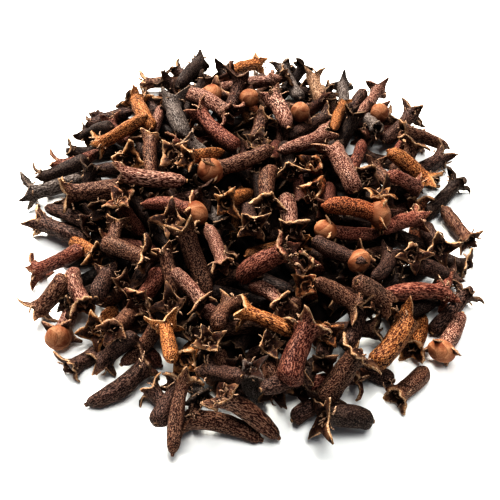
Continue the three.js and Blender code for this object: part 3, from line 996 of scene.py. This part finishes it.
def point_cloud_mesh(name, chosen, sides):
    """A mesh of loose points, one for each chosen clove, that carries how it lies, and how many
    cells wide the grid is that shares out the UV map."""
    heap = layout()
    random = np.random.default_rng(SEED + len(chosen))
    mesh = bpy.data.meshes.new(name)
    mesh.from_pydata(heap.tail[chosen] * MM, [], [])
    turns, sizes, picks = [], [], []
    for index in chosen:
        way = heap.crown[index] - heap.tail[index]
        upright = Vector(way).to_track_quat("Z", "Y").to_matrix()
        turns.append((upright @ Matrix.Rotation(heap.roll[index], 3, "Z")).to_euler("XYZ"))
        girth = heap.girth[index]
        sizes.append((girth, girth, np.linalg.norm(way) / STEM_TO_RIM))
        picks.append(heap.form[index] if sides == SIDES else index % len(HABITS))
    grid = math.ceil(math.sqrt(len(chosen)))
    cells = [(number % grid, number // grid, 0) for number in range(len(chosen))]
    patterns = random.uniform(0, PATTERN_SPAN, (len(chosen), 3))
    middle = (heap.tail[chosen] + heap.crown[chosen]) / 2
    # Painted shade of the heap's inside, darker the deeper a clove lies.
    deep = np.clip((heap_height(middle[:, 0], middle[:, 1]) - middle[:, 2]) / DEEP_SHADE, 0, 1)
    deep *= np.where(chosen < len(SEEN_CLOVES), SEEN_PAINTED_SHADE, UNSEEN_PAINTED_SHADE)
    add_values(mesh, TURN, "FLOAT_VECTOR", "POINT", [tuple(turn) for turn in turns])
    add_values(mesh, SIZE, "FLOAT_VECTOR", "POINT", sizes)
    add_values(mesh, PICK, "INT", "POINT", picks)
    add_values(mesh, CELL, "FLOAT_VECTOR", "POINT", cells)
    add_values(mesh, SEED_AT, "FLOAT_VECTOR", "POINT", patterns)
    add_values(mesh, SHADE, "FLOAT", "POINT", heap.shade[chosen] - deep)
    add_values(mesh, GILT, "FLOAT", "POINT", heap.gold[chosen])
    return mesh, grid


def tree_node(tree, kind, values=None, **settings):
    """Adds a node, with its settings and with values or links for its inputs."""
    made = tree.nodes.new(kind)
    for key, value in settings.items():
        setattr(made, key, value)
    for key, value in (values or {}).items():
        if isinstance(value, bpy.types.NodeSocket):
            tree.links.new(value, made.inputs[key])
        else:
            made.inputs[key].default_value = value
    return made


@functools.lru_cache(maxsize=1)
def scatter_tree():
    """Geometry Nodes that put a clove form on each point and make one mesh of them."""
    tree = bpy.data.node_groups.new("Clove scatter", "GeometryNodeTree")
    sockets = [("Geometry", "NodeSocketGeometry"), ("Forms", "NodeSocketCollection")]
    sockets += [("Material", "NodeSocketMaterial"), ("Cells", "NodeSocketFloat")]
    for name, kind in sockets:
        tree.interface.new_socket(name, in_out="INPUT", socket_type=kind)
    tree.interface.new_socket("Geometry", in_out="OUTPUT", socket_type="NodeSocketGeometry")
    given = tree_node(tree, "NodeGroupInput").outputs

    def stored(name, kind="FLOAT_VECTOR"):
        made = tree_node(tree, "GeometryNodeInputNamedAttribute", {"Name": name}, data_type=kind)
        return made.outputs[0]

    picked = {"Collection": given["Forms"], "Separate Children": True, "Reset Children": True}
    forms = tree_node(tree, "GeometryNodeCollectionInfo", picked)
    turn = tree_node(tree, "FunctionNodeEulerToRotation", {0: stored(TURN)})
    scatter = {
        "Points": given["Geometry"],
        "Instance": forms.outputs[0],
        "Pick Instance": True,
        "Instance Index": stored(PICK, "INT"),
        "Rotation": turn.outputs[0],
        "Scale": stored(SIZE),
    }
    placed = tree_node(tree, "GeometryNodeInstanceOnPoints", scatter)
    whole = tree_node(tree, "GeometryNodeRealizeInstances", {"Geometry": placed.outputs[0]})
    in_cell = {0: stored(UV_MAP), 1: stored(CELL)}
    moved_uv = tree_node(tree, "ShaderNodeVectorMath", in_cell, operation="ADD")
    shrunk = {0: moved_uv.outputs[0], "Scale": given["Cells"]}
    cell_uv = tree_node(tree, "ShaderNodeVectorMath", shrunk, operation="SCALE")
    kept = {"Geometry": whole.outputs[0], "Name": UV_MAP, "Value": cell_uv.outputs[0]}
    mapped = tree_node(
        tree, "GeometryNodeStoreNamedAttribute", kept, data_type="FLOAT2", domain="CORNER"
    )
    finish = {"Geometry": mapped.outputs[0], "Material": given["Material"]}
    painted = tree_node(tree, "GeometryNodeSetMaterial", finish)
    tree_node(tree, "NodeGroupOutput", {"Geometry": painted.outputs[0]})
    return tree


def scatter_cloves(name, chosen, material, sides=SIDES):
    """One piece of many cloves, as a plain mesh with nothing under the table."""
    if not len(chosen):
        raise ValueError(f"{name}: there are no cloves to build")
    mesh, grid = point_cloud_mesh(f"{name}_points", chosen, sides)
    source = bpy.data.objects.new(f"{name}_points", mesh)
    bpy.context.scene.collection.objects.link(source)
    modifier = source.modifiers.new("Clove scatter", "NODES")
    modifier.node_group = scatter_tree()
    values = {"Forms": forms_collection(sides), "Material": material, "Cells": 1 / grid}
    for item in modifier.node_group.interface.items_tree:
        if item.in_out == "INPUT" and item.name in values:
            modifier[item.identifier] = values[item.name]
    depsgraph = bpy.context.evaluated_depsgraph_get()
    plain = bpy.data.meshes.new_from_object(source.evaluated_get(depsgraph))
    bpy.data.objects.remove(source)
    points = np.empty(3 * len(plain.vertices))
    plain.vertices.foreach_get("co", points)
    points[2::3] = np.maximum(points[2::3], 0.0)
    plain.vertices.foreach_set("co", points)
    piece = bpy.data.objects.new(name, plain)
    plain.name = name
    bpy.context.scene.collection.objects.link(piece)
    return hand_over(piece)


def hand_over(piece):
    """Declares a finished piece."""
    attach(piece, BODY)
    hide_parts(HEAP_NODE)
    return piece


CORE_SIDES, CORE_RINGS = 72, 26
CORE_BUMP = 1.1  # mm
CORE_BUMP_WIDE = 3.5
CORE_FOOT = 3  # over 1 the bumps fade only near the foot


def core_piece(material):
    """The dark bumpy body under the cloves, closed below."""
    radius, sides, rings = core_radius(), CORE_SIDES, CORE_RINGS
    points = [(0.0, 0.0, float(core_height(0, 0)))]
    for ring in range(1, rings + 1):
        share = ring / rings
        for side in range(sides):
            angle = side / sides * 2 * math.pi
            x, y = radius[0] * share * math.cos(angle), radius[1] * share * math.sin(angle)
            fade = min(1, CORE_FOOT * (1 - share))
            bump = CORE_BUMP * noise.noise(Vector((x, y, 0)) / CORE_BUMP_WIDE) * fade
            points.append((x, y, max(0.0, float(core_height(x, y)) + bump)))
    points.append((0.0, 0.0, 0.0))
    faces = []
    for side in range(sides):
        after = (side + 1) % sides
        faces.append([0, 1 + side, 1 + after])
        for ring in range(rings - 1):
            row = 1 + ring * sides
            faces.append([row + side, row + sides + side, row + sides + after, row + after])
        last = 1 + (rings - 1) * sides
        faces.append([last + after, last + side, len(points) - 1])
    mesh = bpy.data.meshes.new("heap_core")
    mesh.from_pydata(np.array(points) * MM, [], faces)
    mesh.shade_smooth()
    mesh.materials.append(material)
    piece = bpy.data.objects.new("heap_core", mesh)
    bpy.context.scene.collection.objects.link(piece)
    return hand_over(piece)


# ---------------------------------------------------------------- materials


def linear(code):
    """Linear RGBA of an sRGB hex colour."""
    parts = []
    for start in (1, 3, 5):
        part = int(code[start : start + 2], 16) / 255
        parts.append(part / 12.92 if part <= 0.04045 else ((part + 0.055) / 1.055) ** 2.4)
    return (*parts, 1.0)


# Near-black hollows: partly painted shade in the creases. Lighter ridges: partly painted highlight.
FINISHES = {  # hollows, skin and ridges of each tone
    "dark": ("#0a0201", "#240e08", "#644c41"),
    "brown": ("#110301", "#3b170c", "#846552"),
    "red": ("#190301", "#49180e", "#8d6251"),
    "plum": ("#1a0502", "#51241a", "#a07f6e"),
    "grey": ("#221a16", "#4b403a", "#7a6f68"),
    "ochre": ("#1d0601", "#55240e", "#a8784e"),
    "rust": ("#1c0601", "#602813", "#a86e49"),
    "pale": ("#4d3223", "#8d674e", "#cba88a"),
    "black": ("#0a0302", "#210f0b", "#4b3c33"),
}
SKIN_PARTS = ("hollow", "skin", "ridge")
DETAIL_COLOURS = {
    "edge_gold": "#906742",
    "edge_pale": "#c3ab8f",
    # The cup inside the crown: near black, partly its own dark colour and partly painted shade in the
    # hollow.
    "cup_black": "#130502",
    "cup_brown": "#40200f",
    "scar_pale": "#a48360",
    "scar_dark": "#24120b",
    # The ball's pale petal edges are partly painted highlight, its dark foot painted shade.
    "ball_light": "#9a6d4f",
    "ball_pale": "#bc9472",
    "ball_dark": "#683820",
    "stamen": "#ceab8e",
    "ochre_patch": "#784424",
    "ochre_rib": "#b98657",
    # The core's colours are painted shade, almost black for the deep shade inside the heap.
    "core": "#0a0504",
    "core_lump": "#20100b",
    "table": "#f7f8f4",
}
SKIN_SHINE = 0.2  # specular level, low as the skin is porous
# The real skin's pebbles are finer than a pixel, so they and the wrinkles are drawn about half as
# coarse again.
PEBBLE_MM = 0.17
BROAD_MM = 2.6  # of the patches of lighter and darker skin
FLECK_MM = 1.1  # of the worn spots on the sepals' edges
WRINKLE_MM = 0.175
STREAK_MM = 0.42  # of an ochre skin, whose golden ribs run along it
RELIEF_MM = 0.16
STREAK_WEIGHT, PATCH_WEIGHT = 0.7, 0.6  # of the streaks and the broad patches in where they show
VEINS, VEIN_WAVE = 15.0, 14.0  # veins round a ball of petals, times 2 pi, and how wavy they are
LAP_WAVE = 0.5  # how wavy the petals' edges are
CORE_LUMP_MM = 2.5

# How much of each thing shows, by a pattern or a measure. It grows from 0 at the first value to 1 at
# the second, or from the third number to the fourth.
RAMPS = {
    "ribbed": (0.4, 0.65, 0.25, 0.75),  # wrinkles over pebbles, by clove
    "skin": (0.36, 0.56, 0.3, 1.0),  # over the hollows' colour, in broad patches
    "ochre_patch": (0.6, 0.72),
    # Ridges partly painted highlight, hollows partly painted shade in the creases.
    "ridge": (0.48, 0.59),  # by relief, 0.5 in the middle
    "hollow": (0.49, 0.41, 0.0, 0.8),
    "scar": (0.4, 0.2),  # by mm over the tail
    "scar_shade": (-0.2, 0.4),  # by how light the clove is
    "scar_pit": (0.06, 0.02),
    # the inside of the crown darkened, partly painted shade
    "cup": (-0.1, -0.9, 0.0, 0.95),  # by mm from the sepals' edge, under 0 inside
    "cup_light": (0.45, 0.6),
    "edge_light": (0.4, 0.65),
    "glow": (1.7, 0.4, 0.0, 0.95),  # by mm from the edge
    "glow_flecks": (0.42, 0.56),
    "edge_width": (0.34, 0.66, 0.03, 0.36),  # mm
    "edge": (1.4, 0.3),  # by widths from the edge
    "edge_gold": (0.0, 0.6, 0.12, 0.95),  # by how golden the clove is
    "ball": (0.95, 1.0),
    "ball_light": (0.35, 0.6),
    "vein": (0.3, 1.0, 0.0, 0.35),
    # each petal's edge lighter, partly painted highlight, and painted shade in the line under it
    "petal_light": (0.4, 1.0, 0.0, 0.4),  # by share of a petal's width
    "petal_line": (0.1, 0.01, 0.0, 0.3),
    "speckle": (0.55, 0.38, 0.0, 0.45),
    # painted shade at the ball's foot, where it sits in the sepals
    "ball_foot_painted_shade": (BALL_MARK + 0.1, BALL_MARK - 0.8, 0.0, 0.7),
    "strand": (0.2, 0.8, 0.0, 0.9),
    "strand_light": (0.4, 0.6),
    "brightness": (-2.0, 1.0, 0.35, 1.3),  # by how light the clove is
    "dullness": (0.4, 0.6, 0.85, 0.52),  # roughness in the hollows and on the ridges
    "core_lump": (0.35, 0.65),
    "core_dullness": (0.3, 0.7, 0.9, 0.75),
}

# What the colours at each point of a clove follow: where it is on the clove and in the patterns, its
# mm from the sepals' edge, how far it is petal or stamen, how light and how golden the clove is, and
# the patterns there.
Marks = namedtuple("Marks", "place spot rim petal shade gilt broad pebbles relief")


def colour_of(name):
    """A colour that is set in the panel, linear."""
    return tuple(getattr(bpy.context.scene.clove_colours, name))


def mixed(tree, share, first, second):
    """Mixes two colours."""
    values = {0: share, 6: first, 7: second}
    return tree_node(tree, "ShaderNodeMix", values, data_type="RGBA").outputs[2]


def remapped(tree, value, low, high, to_low=0.0, to_high=1.0):
    """Stretches low..high of a value to to_low..to_high, and holds it there."""
    limits = {"Value": value, "From Min": low, "From Max": high, "To Min": to_low, "To Max": to_high}
    return tree_node(tree, "ShaderNodeMapRange", limits, clamp=True).outputs[0]


def ramp(tree, value, name):
    """How much of something shows, by a value."""
    return remapped(tree, value, *RAMPS[name])


def worked(tree, operation, first, second=0.0, third=0.0):
    """One sum on values."""
    values = {0: first, 1: second, 2: third}
    return tree_node(tree, "ShaderNodeMath", values, operation=operation).outputs[0]


def on_vector(tree, operation, vector, values):
    """One sum on a vector."""
    return tree_node(tree, "ShaderNodeVectorMath", {0: vector, **values}, operation=operation).outputs[0]


def grain(tree, vector, size_mm, detail=2.0, stretch=(1, 1, 1)):
    """Noise whose lumps are about size_mm wide, read in mm."""
    steps = tuple(1 / (size_mm * part) for part in stretch)
    scaled = on_vector(tree, "MULTIPLY", vector, {1: steps})
    values = {"Vector": scaled, "Scale": 1.0, "Detail": detail}
    return tree_node(tree, "ShaderNodeTexNoise", values).outputs[0]


def stored_value(tree, name, output="Fac"):
    """A value that the mesh carries at each point."""
    return tree_node(tree, "ShaderNodeAttribute", attribute_name=name).outputs[output]


def clove_marks(tree):
    """What the mesh carries, and the patterns of the skin."""
    place, seed = stored_value(tree, PLACE, "Vector"), stored_value(tree, SEED_AT, "Vector")
    spot = on_vector(tree, "ADD", place, {1: seed})
    broad = grain(tree, spot, BROAD_MM, 2.0, (1, 1, 1.6))
    pebbles = grain(tree, spot, PEBBLE_MM, 1.0, (1, 1, 1.4))
    wrinkles = grain(tree, spot, WRINKLE_MM, 1.0, (1, 1, 4))
    ribbed = ramp(tree, grain(tree, seed, 1.0), "ribbed")
    values = {0: ribbed, 2: pebbles, 3: wrinkles}
    relief = tree_node(tree, "ShaderNodeMix", values, data_type="FLOAT").outputs[0]
    carried = [stored_value(tree, name) for name in (RIM, PETAL, SHADE, GILT)]
    return Marks(place, spot, *carried, broad, pebbles, relief)


def skin_colour(tree, marks, tone):
    """The skin with its hollows and ridges, and the scar at the tail. Gives the ridges' colour too."""
    hollow, skin, ridge = (colour_of(f"{tone}_{part}") for part in SKIN_PARTS)
    colour = mixed(tree, ramp(tree, marks.broad, "skin"), hollow, skin)
    if tone == "ochre":
        streaks = grain(tree, marks.spot, STREAK_MM, 1.0, (1, 1, 7))
        streaks = worked(tree, "MULTIPLY", streaks, STREAK_WEIGHT)
        patch = worked(tree, "MULTIPLY_ADD", marks.broad, PATCH_WEIGHT, streaks)
        patch = ramp(tree, patch, "ochre_patch")
        colour = mixed(tree, patch, colour, colour_of("ochre_patch"))
        ridge = mixed(tree, patch, ridge, colour_of("ochre_rib"))
    # Lighter ridges, partly painted highlight, and near-black hollows, partly painted shade in the creases.
    colour = mixed(tree, ramp(tree, marks.relief, "ridge"), colour, ridge)
    colour = mixed(tree, ramp(tree, marks.relief, "hollow"), colour, hollow)
    height = tree_node(tree, "ShaderNodeSeparateXYZ", {0: marks.place}).outputs["Z"]
    scar = ramp(tree, height, "scar")
    scar = worked(tree, "MULTIPLY", scar, ramp(tree, marks.shade, "scar_shade"))
    pit = ramp(tree, height, "scar_pit")
    scar_colour = mixed(tree, pit, colour_of("scar_pale"), colour_of("scar_dark"))
    return mixed(tree, scar, colour, scar_colour), ridge


def crown_colour(tree, marks, colour, ridge):
    """Lays the dark cup, partly painted shade, and the golden torn edges of the sepals over the skin."""
    # The cup and the sepals' inner faces, partly painted shade in the hollow of the crown.
    cup_light = ramp(tree, marks.relief, "cup_light")
    cup_colour = mixed(tree, cup_light, colour_of("cup_black"), colour_of("cup_brown"))
    colour = mixed(tree, ramp(tree, marks.rim, "cup"), colour, cup_colour)
    off_edge = worked(tree, "ABSOLUTE", marks.rim)
    flecks = grain(tree, marks.spot, FLECK_MM, 1.0)
    glow = worked(tree, "MULTIPLY", ramp(tree, off_edge, "glow"), marks.gilt)
    glow = worked(tree, "MULTIPLY", glow, ramp(tree, flecks, "glow_flecks"))
    colour = mixed(tree, glow, colour, mixed(tree, marks.relief, colour_of("edge_gold"), ridge))
    width = worked(tree, "MULTIPLY", ramp(tree, flecks, "edge_width"), marks.gilt)
    line = worked(tree, "DIVIDE", off_edge, worked(tree, "ADD", width, 0.01))
    edge = ramp(tree, line, "edge")
    edge = worked(tree, "MULTIPLY", edge, ramp(tree, marks.gilt, "edge_gold"))
    edge_light = ramp(tree, marks.pebbles, "edge_light")
    gold = mixed(tree, edge_light, colour_of("edge_gold"), colour_of("edge_pale"))
    return mixed(tree, edge, colour, gold)


def ball_colour(tree, marks, hollow):
    """The ball of shut petals: veined, speckled, with painted shade at its foot and between the petals,
    and lighter along each petal, partly painted highlight.
    """
    light, pale, dark = (colour_of(f"ball_{part}") for part in ("light", "pale", "dark"))
    across = tree_node(tree, "ShaderNodeSeparateXYZ", {0: marks.place}).outputs
    about = worked(tree, "ARCTAN2", across["Y"], across["X"])
    wave = worked(tree, "MULTIPLY", marks.broad, VEIN_WAVE)
    veins = worked(tree, "SINE", worked(tree, "MULTIPLY_ADD", about, VEINS, wave))
    twist = worked(tree, "SUBTRACT", marks.petal, BALL_MARK)
    twist = worked(tree, "MULTIPLY", twist, PETAL_TWIST)
    wavy = worked(tree, "MULTIPLY_ADD", marks.broad, LAP_WAVE, twist)
    lap = worked(tree, "MULTIPLY_ADD", about, SEPALS / (2 * math.pi), wavy)
    lap = worked(tree, "FRACT", lap)
    colour = mixed(tree, ramp(tree, marks.broad, "ball_light"), dark, light)
    colour = mixed(tree, ramp(tree, veins, "vein"), colour, dark)
    # Each petal's edge lighter, partly painted highlight, and a painted shade line where it lies over the
    # next.
    colour = mixed(tree, ramp(tree, lap, "petal_light"), colour, pale)
    colour = mixed(tree, ramp(tree, lap, "petal_line"), colour, hollow)
    speckle = ramp(tree, marks.pebbles, "speckle")
    # Painted shade at the ball's foot.
    low = ramp(tree, marks.petal, "ball_foot_painted_shade")
    return mixed(tree, worked(tree, "MAXIMUM", speckle, low), colour, dark)


def clove_finish(tone):
    """Dried flower bud, wrinkled by drying: dull and pebbly, with black hollows, partly painted shade,
    and lighter ridges, partly painted highlight, a pale scar at the tail and golden torn sepal edges."""
    material = bpy.data.materials.new(f"Dried clove, {tone}")
    material.use_nodes = True
    tree = material.node_tree
    shader = tree.nodes["Principled BSDF"]
    marks, hollow = clove_marks(tree), colour_of(f"{tone}_hollow")
    colour, ridge = skin_colour(tree, marks, tone)
    colour = crown_colour(tree, marks, colour, ridge)
    strand_light = ramp(tree, marks.pebbles, "strand_light")
    strand_colour = mixed(tree, strand_light, hollow, colour_of("stamen"))
    colour = mixed(tree, ramp(tree, marks.petal, "strand"), colour, strand_colour)
    colour = mixed(tree, ramp(tree, marks.petal, "ball"), colour, ball_colour(tree, marks, hollow))
    # How light the clove is, with its painted light and shade.
    values = {"Color": colour, "Value": ramp(tree, marks.shade, "brightness"), "Saturation": 1.0}
    colour = tree_node(tree, "ShaderNodeHueSaturation", values).outputs[0]
    tree.links.new(colour, shader.inputs["Base Color"])
    tree.links.new(ramp(tree, marks.relief, "dullness"), shader.inputs["Roughness"])
    shader.inputs["Specular IOR Level"].default_value = SKIN_SHINE
    values = {"Height": marks.relief, "Strength": 1.0, "Distance": RELIEF_MM * MM}
    bump = tree_node(tree, "ShaderNodeBump", values)
    tree.links.new(bump.outputs[0], shader.inputs["Normal"])
    return material


def core_finish():
    """Broken cloves under the heap: painted shade, almost black for the deep shade there, with lumps."""
    material = bpy.data.materials.new("Crushed cloves, painted shade")
    material.use_nodes = True
    tree = material.node_tree
    shader = tree.nodes["Principled BSDF"]
    place = tree_node(tree, "ShaderNodeTexCoord").outputs["Object"]
    in_mm = on_vector(tree, "SCALE", place, {"Scale": 1 / MM})
    lumps = grain(tree, in_mm, CORE_LUMP_MM, 3.0)
    colour = mixed(tree, ramp(tree, lumps, "core_lump"), colour_of("core"), colour_of("core_lump"))
    tree.links.new(colour, shader.inputs["Base Color"])
    tree.links.new(ramp(tree, lumps, "core_dullness"), shader.inputs["Roughness"])
    shader.inputs["Specular IOR Level"].default_value = SKIN_SHINE
    return material


# ---------------------------------------------------------------- stage

TABLE_HALF = 1.2  # m
TABLE_DULLNESS = 0.9
SKY_COLOUR, WINDOW_COLOUR = "#e4eafb", "#fffcf6"
WINDOW_PLACE, WINDOW_SIZE = (-0.3, 0.6, 0.8), 0.35  # m
OVERHEAD_PLACE, OVERHEAD_SIZE = (0.1, -0.1, 0.9), 0.4
VIEW_GAMMA = 0.93
NEAREST = 0.01  # m from the camera, anything closer isn't drawn


def add_light(name, place, aim, size, watts, colour="#ffffff"):
    """A square soft lamp, with its places in metres."""
    data = bpy.data.lights.new(name, "AREA")
    data.shape, data.size, data.energy = "SQUARE", size, watts
    data.color = linear(colour)[:3]
    lamp = bpy.data.objects.new(name, data)
    lamp.location = place
    lamp.rotation_euler = (Vector(aim) - Vector(place)).to_track_quat("-Z", "Y").to_euler()
    bpy.context.scene.collection.objects.link(lamp)
    return lamp


def build_table():
    """The pale table, 2.4 m square."""
    low, high = -TABLE_HALF, TABLE_HALF
    mesh = bpy.data.meshes.new("table")
    corners = [(low, low, 0), (high, low, 0), (high, high, 0), (low, high, 0)]
    mesh.from_pydata(corners, [], [(0, 1, 2, 3)])
    floor = bpy.data.objects.new("table", mesh)
    bpy.context.scene.collection.objects.link(floor)
    material = bpy.data.materials.new("White matt board")
    material.use_nodes = True
    shader = material.node_tree.nodes["Principled BSDF"]
    shader.inputs["Base Color"].default_value = colour_of("table")
    shader.inputs["Roughness"].default_value = TABLE_DULLNESS
    mesh.materials.append(material)


def set_light():
    """Soft light from behind, above and all round, and the contrast that it is shown with."""
    scene = bpy.context.scene
    lamps = scene.clove_lamps
    scene.world = bpy.data.worlds.new("Studio")
    scene.world.use_nodes = True
    background = scene.world.node_tree.nodes["Background"]
    background.inputs["Color"].default_value = linear(SKY_COLOUR)
    background.inputs["Strength"].default_value = lamps.sky
    add_light("Window", WINDOW_PLACE, (0, 0, 0), WINDOW_SIZE, lamps.window, WINDOW_COLOUR)
    add_light("Overhead", OVERHEAD_PLACE, (0, 0, 0), OVERHEAD_SIZE, lamps.overhead)
    scene.view_settings.view_transform = "Standard"
    scene.view_settings.look = "High Contrast"
    scene.view_settings.gamma = VIEW_GAMMA


def set_camera():
    """The camera that looks at the front of the heap from above."""
    data = bpy.data.cameras.new("Camera")
    data.sensor_width = SENSOR_MM
    data.lens = SENSOR_MM * FOCAL_PX / FRAME_PX
    data.clip_start = NEAREST
    camera = bpy.data.objects.new("Camera", data)
    camera.location = Vector(camera_place()) * MM
    camera.rotation_euler = Euler((math.pi / 2 - CAMERA_RISE, 0, 0))
    bpy.context.scene.collection.objects.link(camera)
    bpy.context.scene.camera = camera


def build_stage():
    """The table, the light and the camera."""
    build_table()
    set_light()
    set_camera()


# ---------------------------------------------------------------- add-on


def length_property(name, description, millimetres):
    """A length that shows in the scene's own unit."""
    metres = millimetres * MM
    return bpy.props.FloatProperty(
        name=name, description=description, default=metres, min=0.0, unit="LENGTH", precision=4
    )


def count_property(name, description, count):
    """A number of things."""
    return bpy.props.IntProperty(name=name, description=description, default=count, min=0)


def colour_property(name, description, code):
    """A colour with a swatch."""
    return bpy.props.FloatVectorProperty(
        name=name,
        description=description,
        default=linear(code),
        min=0.0,
        max=1.0,
        size=4,
        subtype="COLOR",
    )


def power_property(name, description, strength, unit="NONE"):
    """How strong a lamp is."""
    return bpy.props.FloatProperty(
        name=name, description=description, default=strength, min=0.0, unit=unit
    )


def colour_properties():
    """A property for each part of each tone's skin, and for each detail."""
    made = {}
    for tone, codes in FINISHES.items():
        for part, code in zip(SKIN_PARTS, codes):
            label = f"{tone} {part}".capitalize()
            made[f"{tone}_{part}"] = colour_property(label, f"{part} of {tone} cloves", code)
    for name, code in DETAIL_COLOURS.items():
        label = name.replace("_", " ").capitalize()
        made[name] = colour_property(label, "Colour of that detail", code)
    return made


class HeapSizes(bpy.types.PropertyGroup):
    """Size of the heap and how many cloves fill it under the ones that are laid one by one"""

    foot_across: length_property("Foot across", "Half the close heap's width along X", 46.0)
    foot_deep: length_property("Foot deep", "Half the close heap's width along Y", 50.0)
    top: length_property("Top", "Height of the axes of the top cloves in the middle", 14.5)
    core_inset: length_property("Core inset", "How far the core's foot lies inside the heap's", 14.0)
    core_depth: length_property("Core depth", "How far the core lies under the top cloves' axes", 13.5)
    fill_cloves: count_property("Fill cloves", "Cloves scattered under the top ones", 108)
    rim_cloves: count_property("Rim cloves", "Cloves on the table round the far side of the foot", 16)
    under_cloves: count_property("Hidden cloves", "Simpler cloves deep in the heap", 40)


class CloveSizes(bpy.types.PropertyGroup):
    """Size of one clove"""

    stem_radius: length_property("Stem radius", "Half the stem's thickness at its thickest", 1.6)
    rim_radius: length_property("Rim radius", "Half the crown's width at the sepals' foot", 1.85)
    sepal_length: length_property("Sepal length", "From the rim to a sepal's tip", 2.45)
    ball_radius: length_property("Ball radius", "Half the width of the ball of shut petals", 2.55)


class CloveColours(bpy.types.PropertyGroup):
    """Colours of the skins by tone, and of the crowns, the core and the table"""

    __annotations__ = colour_properties()


class CloveLamps(bpy.types.PropertyGroup):
    """How strong the light is"""

    window: power_property("Window", "Power of the lamp behind the heap on the left", 28.0, "POWER")
    overhead: power_property("Overhead", "Power of the lamp above the heap", 6.0, "POWER")
    sky: power_property("Sky", "Strength of the light from all round", 0.14)


class ClovePiece:
    """What the operators share."""

    bl_options = {"REGISTER", "UNDO"}

    def forget(self):
        """Drops what was worked out from earlier settings."""
        for kept in (layout, clove_forms, forms_collection):
            kept.cache_clear()


class CLOVE_OT_top(ClovePiece, bpy.types.Operator):
    """Build the whole cloves that show, one piece for each tone"""

    bl_idname = "clove.top"
    bl_label = "Whole cloves"

    def execute(self, context):
        self.forget()
        heap = layout()
        for tone in TONES:
            chosen = np.nonzero((heap.tone == tone) & (heap.layer < UNDER_LAYER))[0]
            scatter_cloves(f"{tone}_cloves", chosen, clove_finish(tone))
        return {"FINISHED"}


class CLOVE_OT_under(ClovePiece, bpy.types.Operator):
    """Build the cloves deep in the heap, with fewer faces"""

    bl_idname = "clove.under"
    bl_label = "Hidden cloves"

    def execute(self, context):
        self.forget()
        chosen = np.nonzero(layout().layer == UNDER_LAYER)[0]
        scatter_cloves("hidden_cloves", chosen, clove_finish("dark"), UNDER_SIDES)
        return {"FINISHED"}


class CLOVE_OT_core(ClovePiece, bpy.types.Operator):
    """Build the dark core of the heap"""

    bl_idname = "clove.core"
    bl_label = "Core"

    def execute(self, context):
        core_piece(core_finish())
        return {"FINISHED"}


class CLOVE_OT_stage(bpy.types.Operator):
    """Lay the table, and set the lamps and the camera"""

    bl_idname = "clove.stage"
    bl_label = "Stage"

    def execute(self, context):
        build_stage()
        return {"FINISHED"}


OPERATORS = (CLOVE_OT_top, CLOVE_OT_under, CLOVE_OT_core, CLOVE_OT_stage)


class CLOVE_PT_panel(bpy.types.Panel):
    """Lists the pieces in the 3D view's sidebar"""

    bl_label = "Clove heap"
    bl_idname = "CLOVE_PT_panel"
    bl_space_type = "VIEW_3D"
    bl_region_type = "UI"
    bl_category = "Clove Heap"

    def draw(self, context):
        for operator in OPERATORS:
            self.layout.operator(operator.bl_idname)
        for name in SETTINGS:
            group = getattr(context.scene, name)
            for item in group.__annotations__:
                self.layout.prop(group, item)


SETTINGS = {
    "heap_sizes": HeapSizes,
    "clove_sizes": CloveSizes,
    "clove_colours": CloveColours,
    "clove_lamps": CloveLamps,
}
CLASSES = (*SETTINGS.values(), *OPERATORS, CLOVE_PT_panel)


def register():
    for item in CLASSES:
        bpy.utils.register_class(item)
    for name, group in SETTINGS.items():
        setattr(bpy.types.Scene, name, bpy.props.PointerProperty(type=group))


def unregister():
    for name in SETTINGS:
        delattr(bpy.types.Scene, name)
    for item in reversed(CLASSES):
        bpy.utils.unregister_class(item)


def main():
    register()
    for name in ("top", "under", "core", "stage"):
        if getattr(bpy.ops.clove, name)() != {"FINISHED"}:
            raise RuntimeError(f"the {name} step didn't finish")


if __name__ == "__main__":
    main()
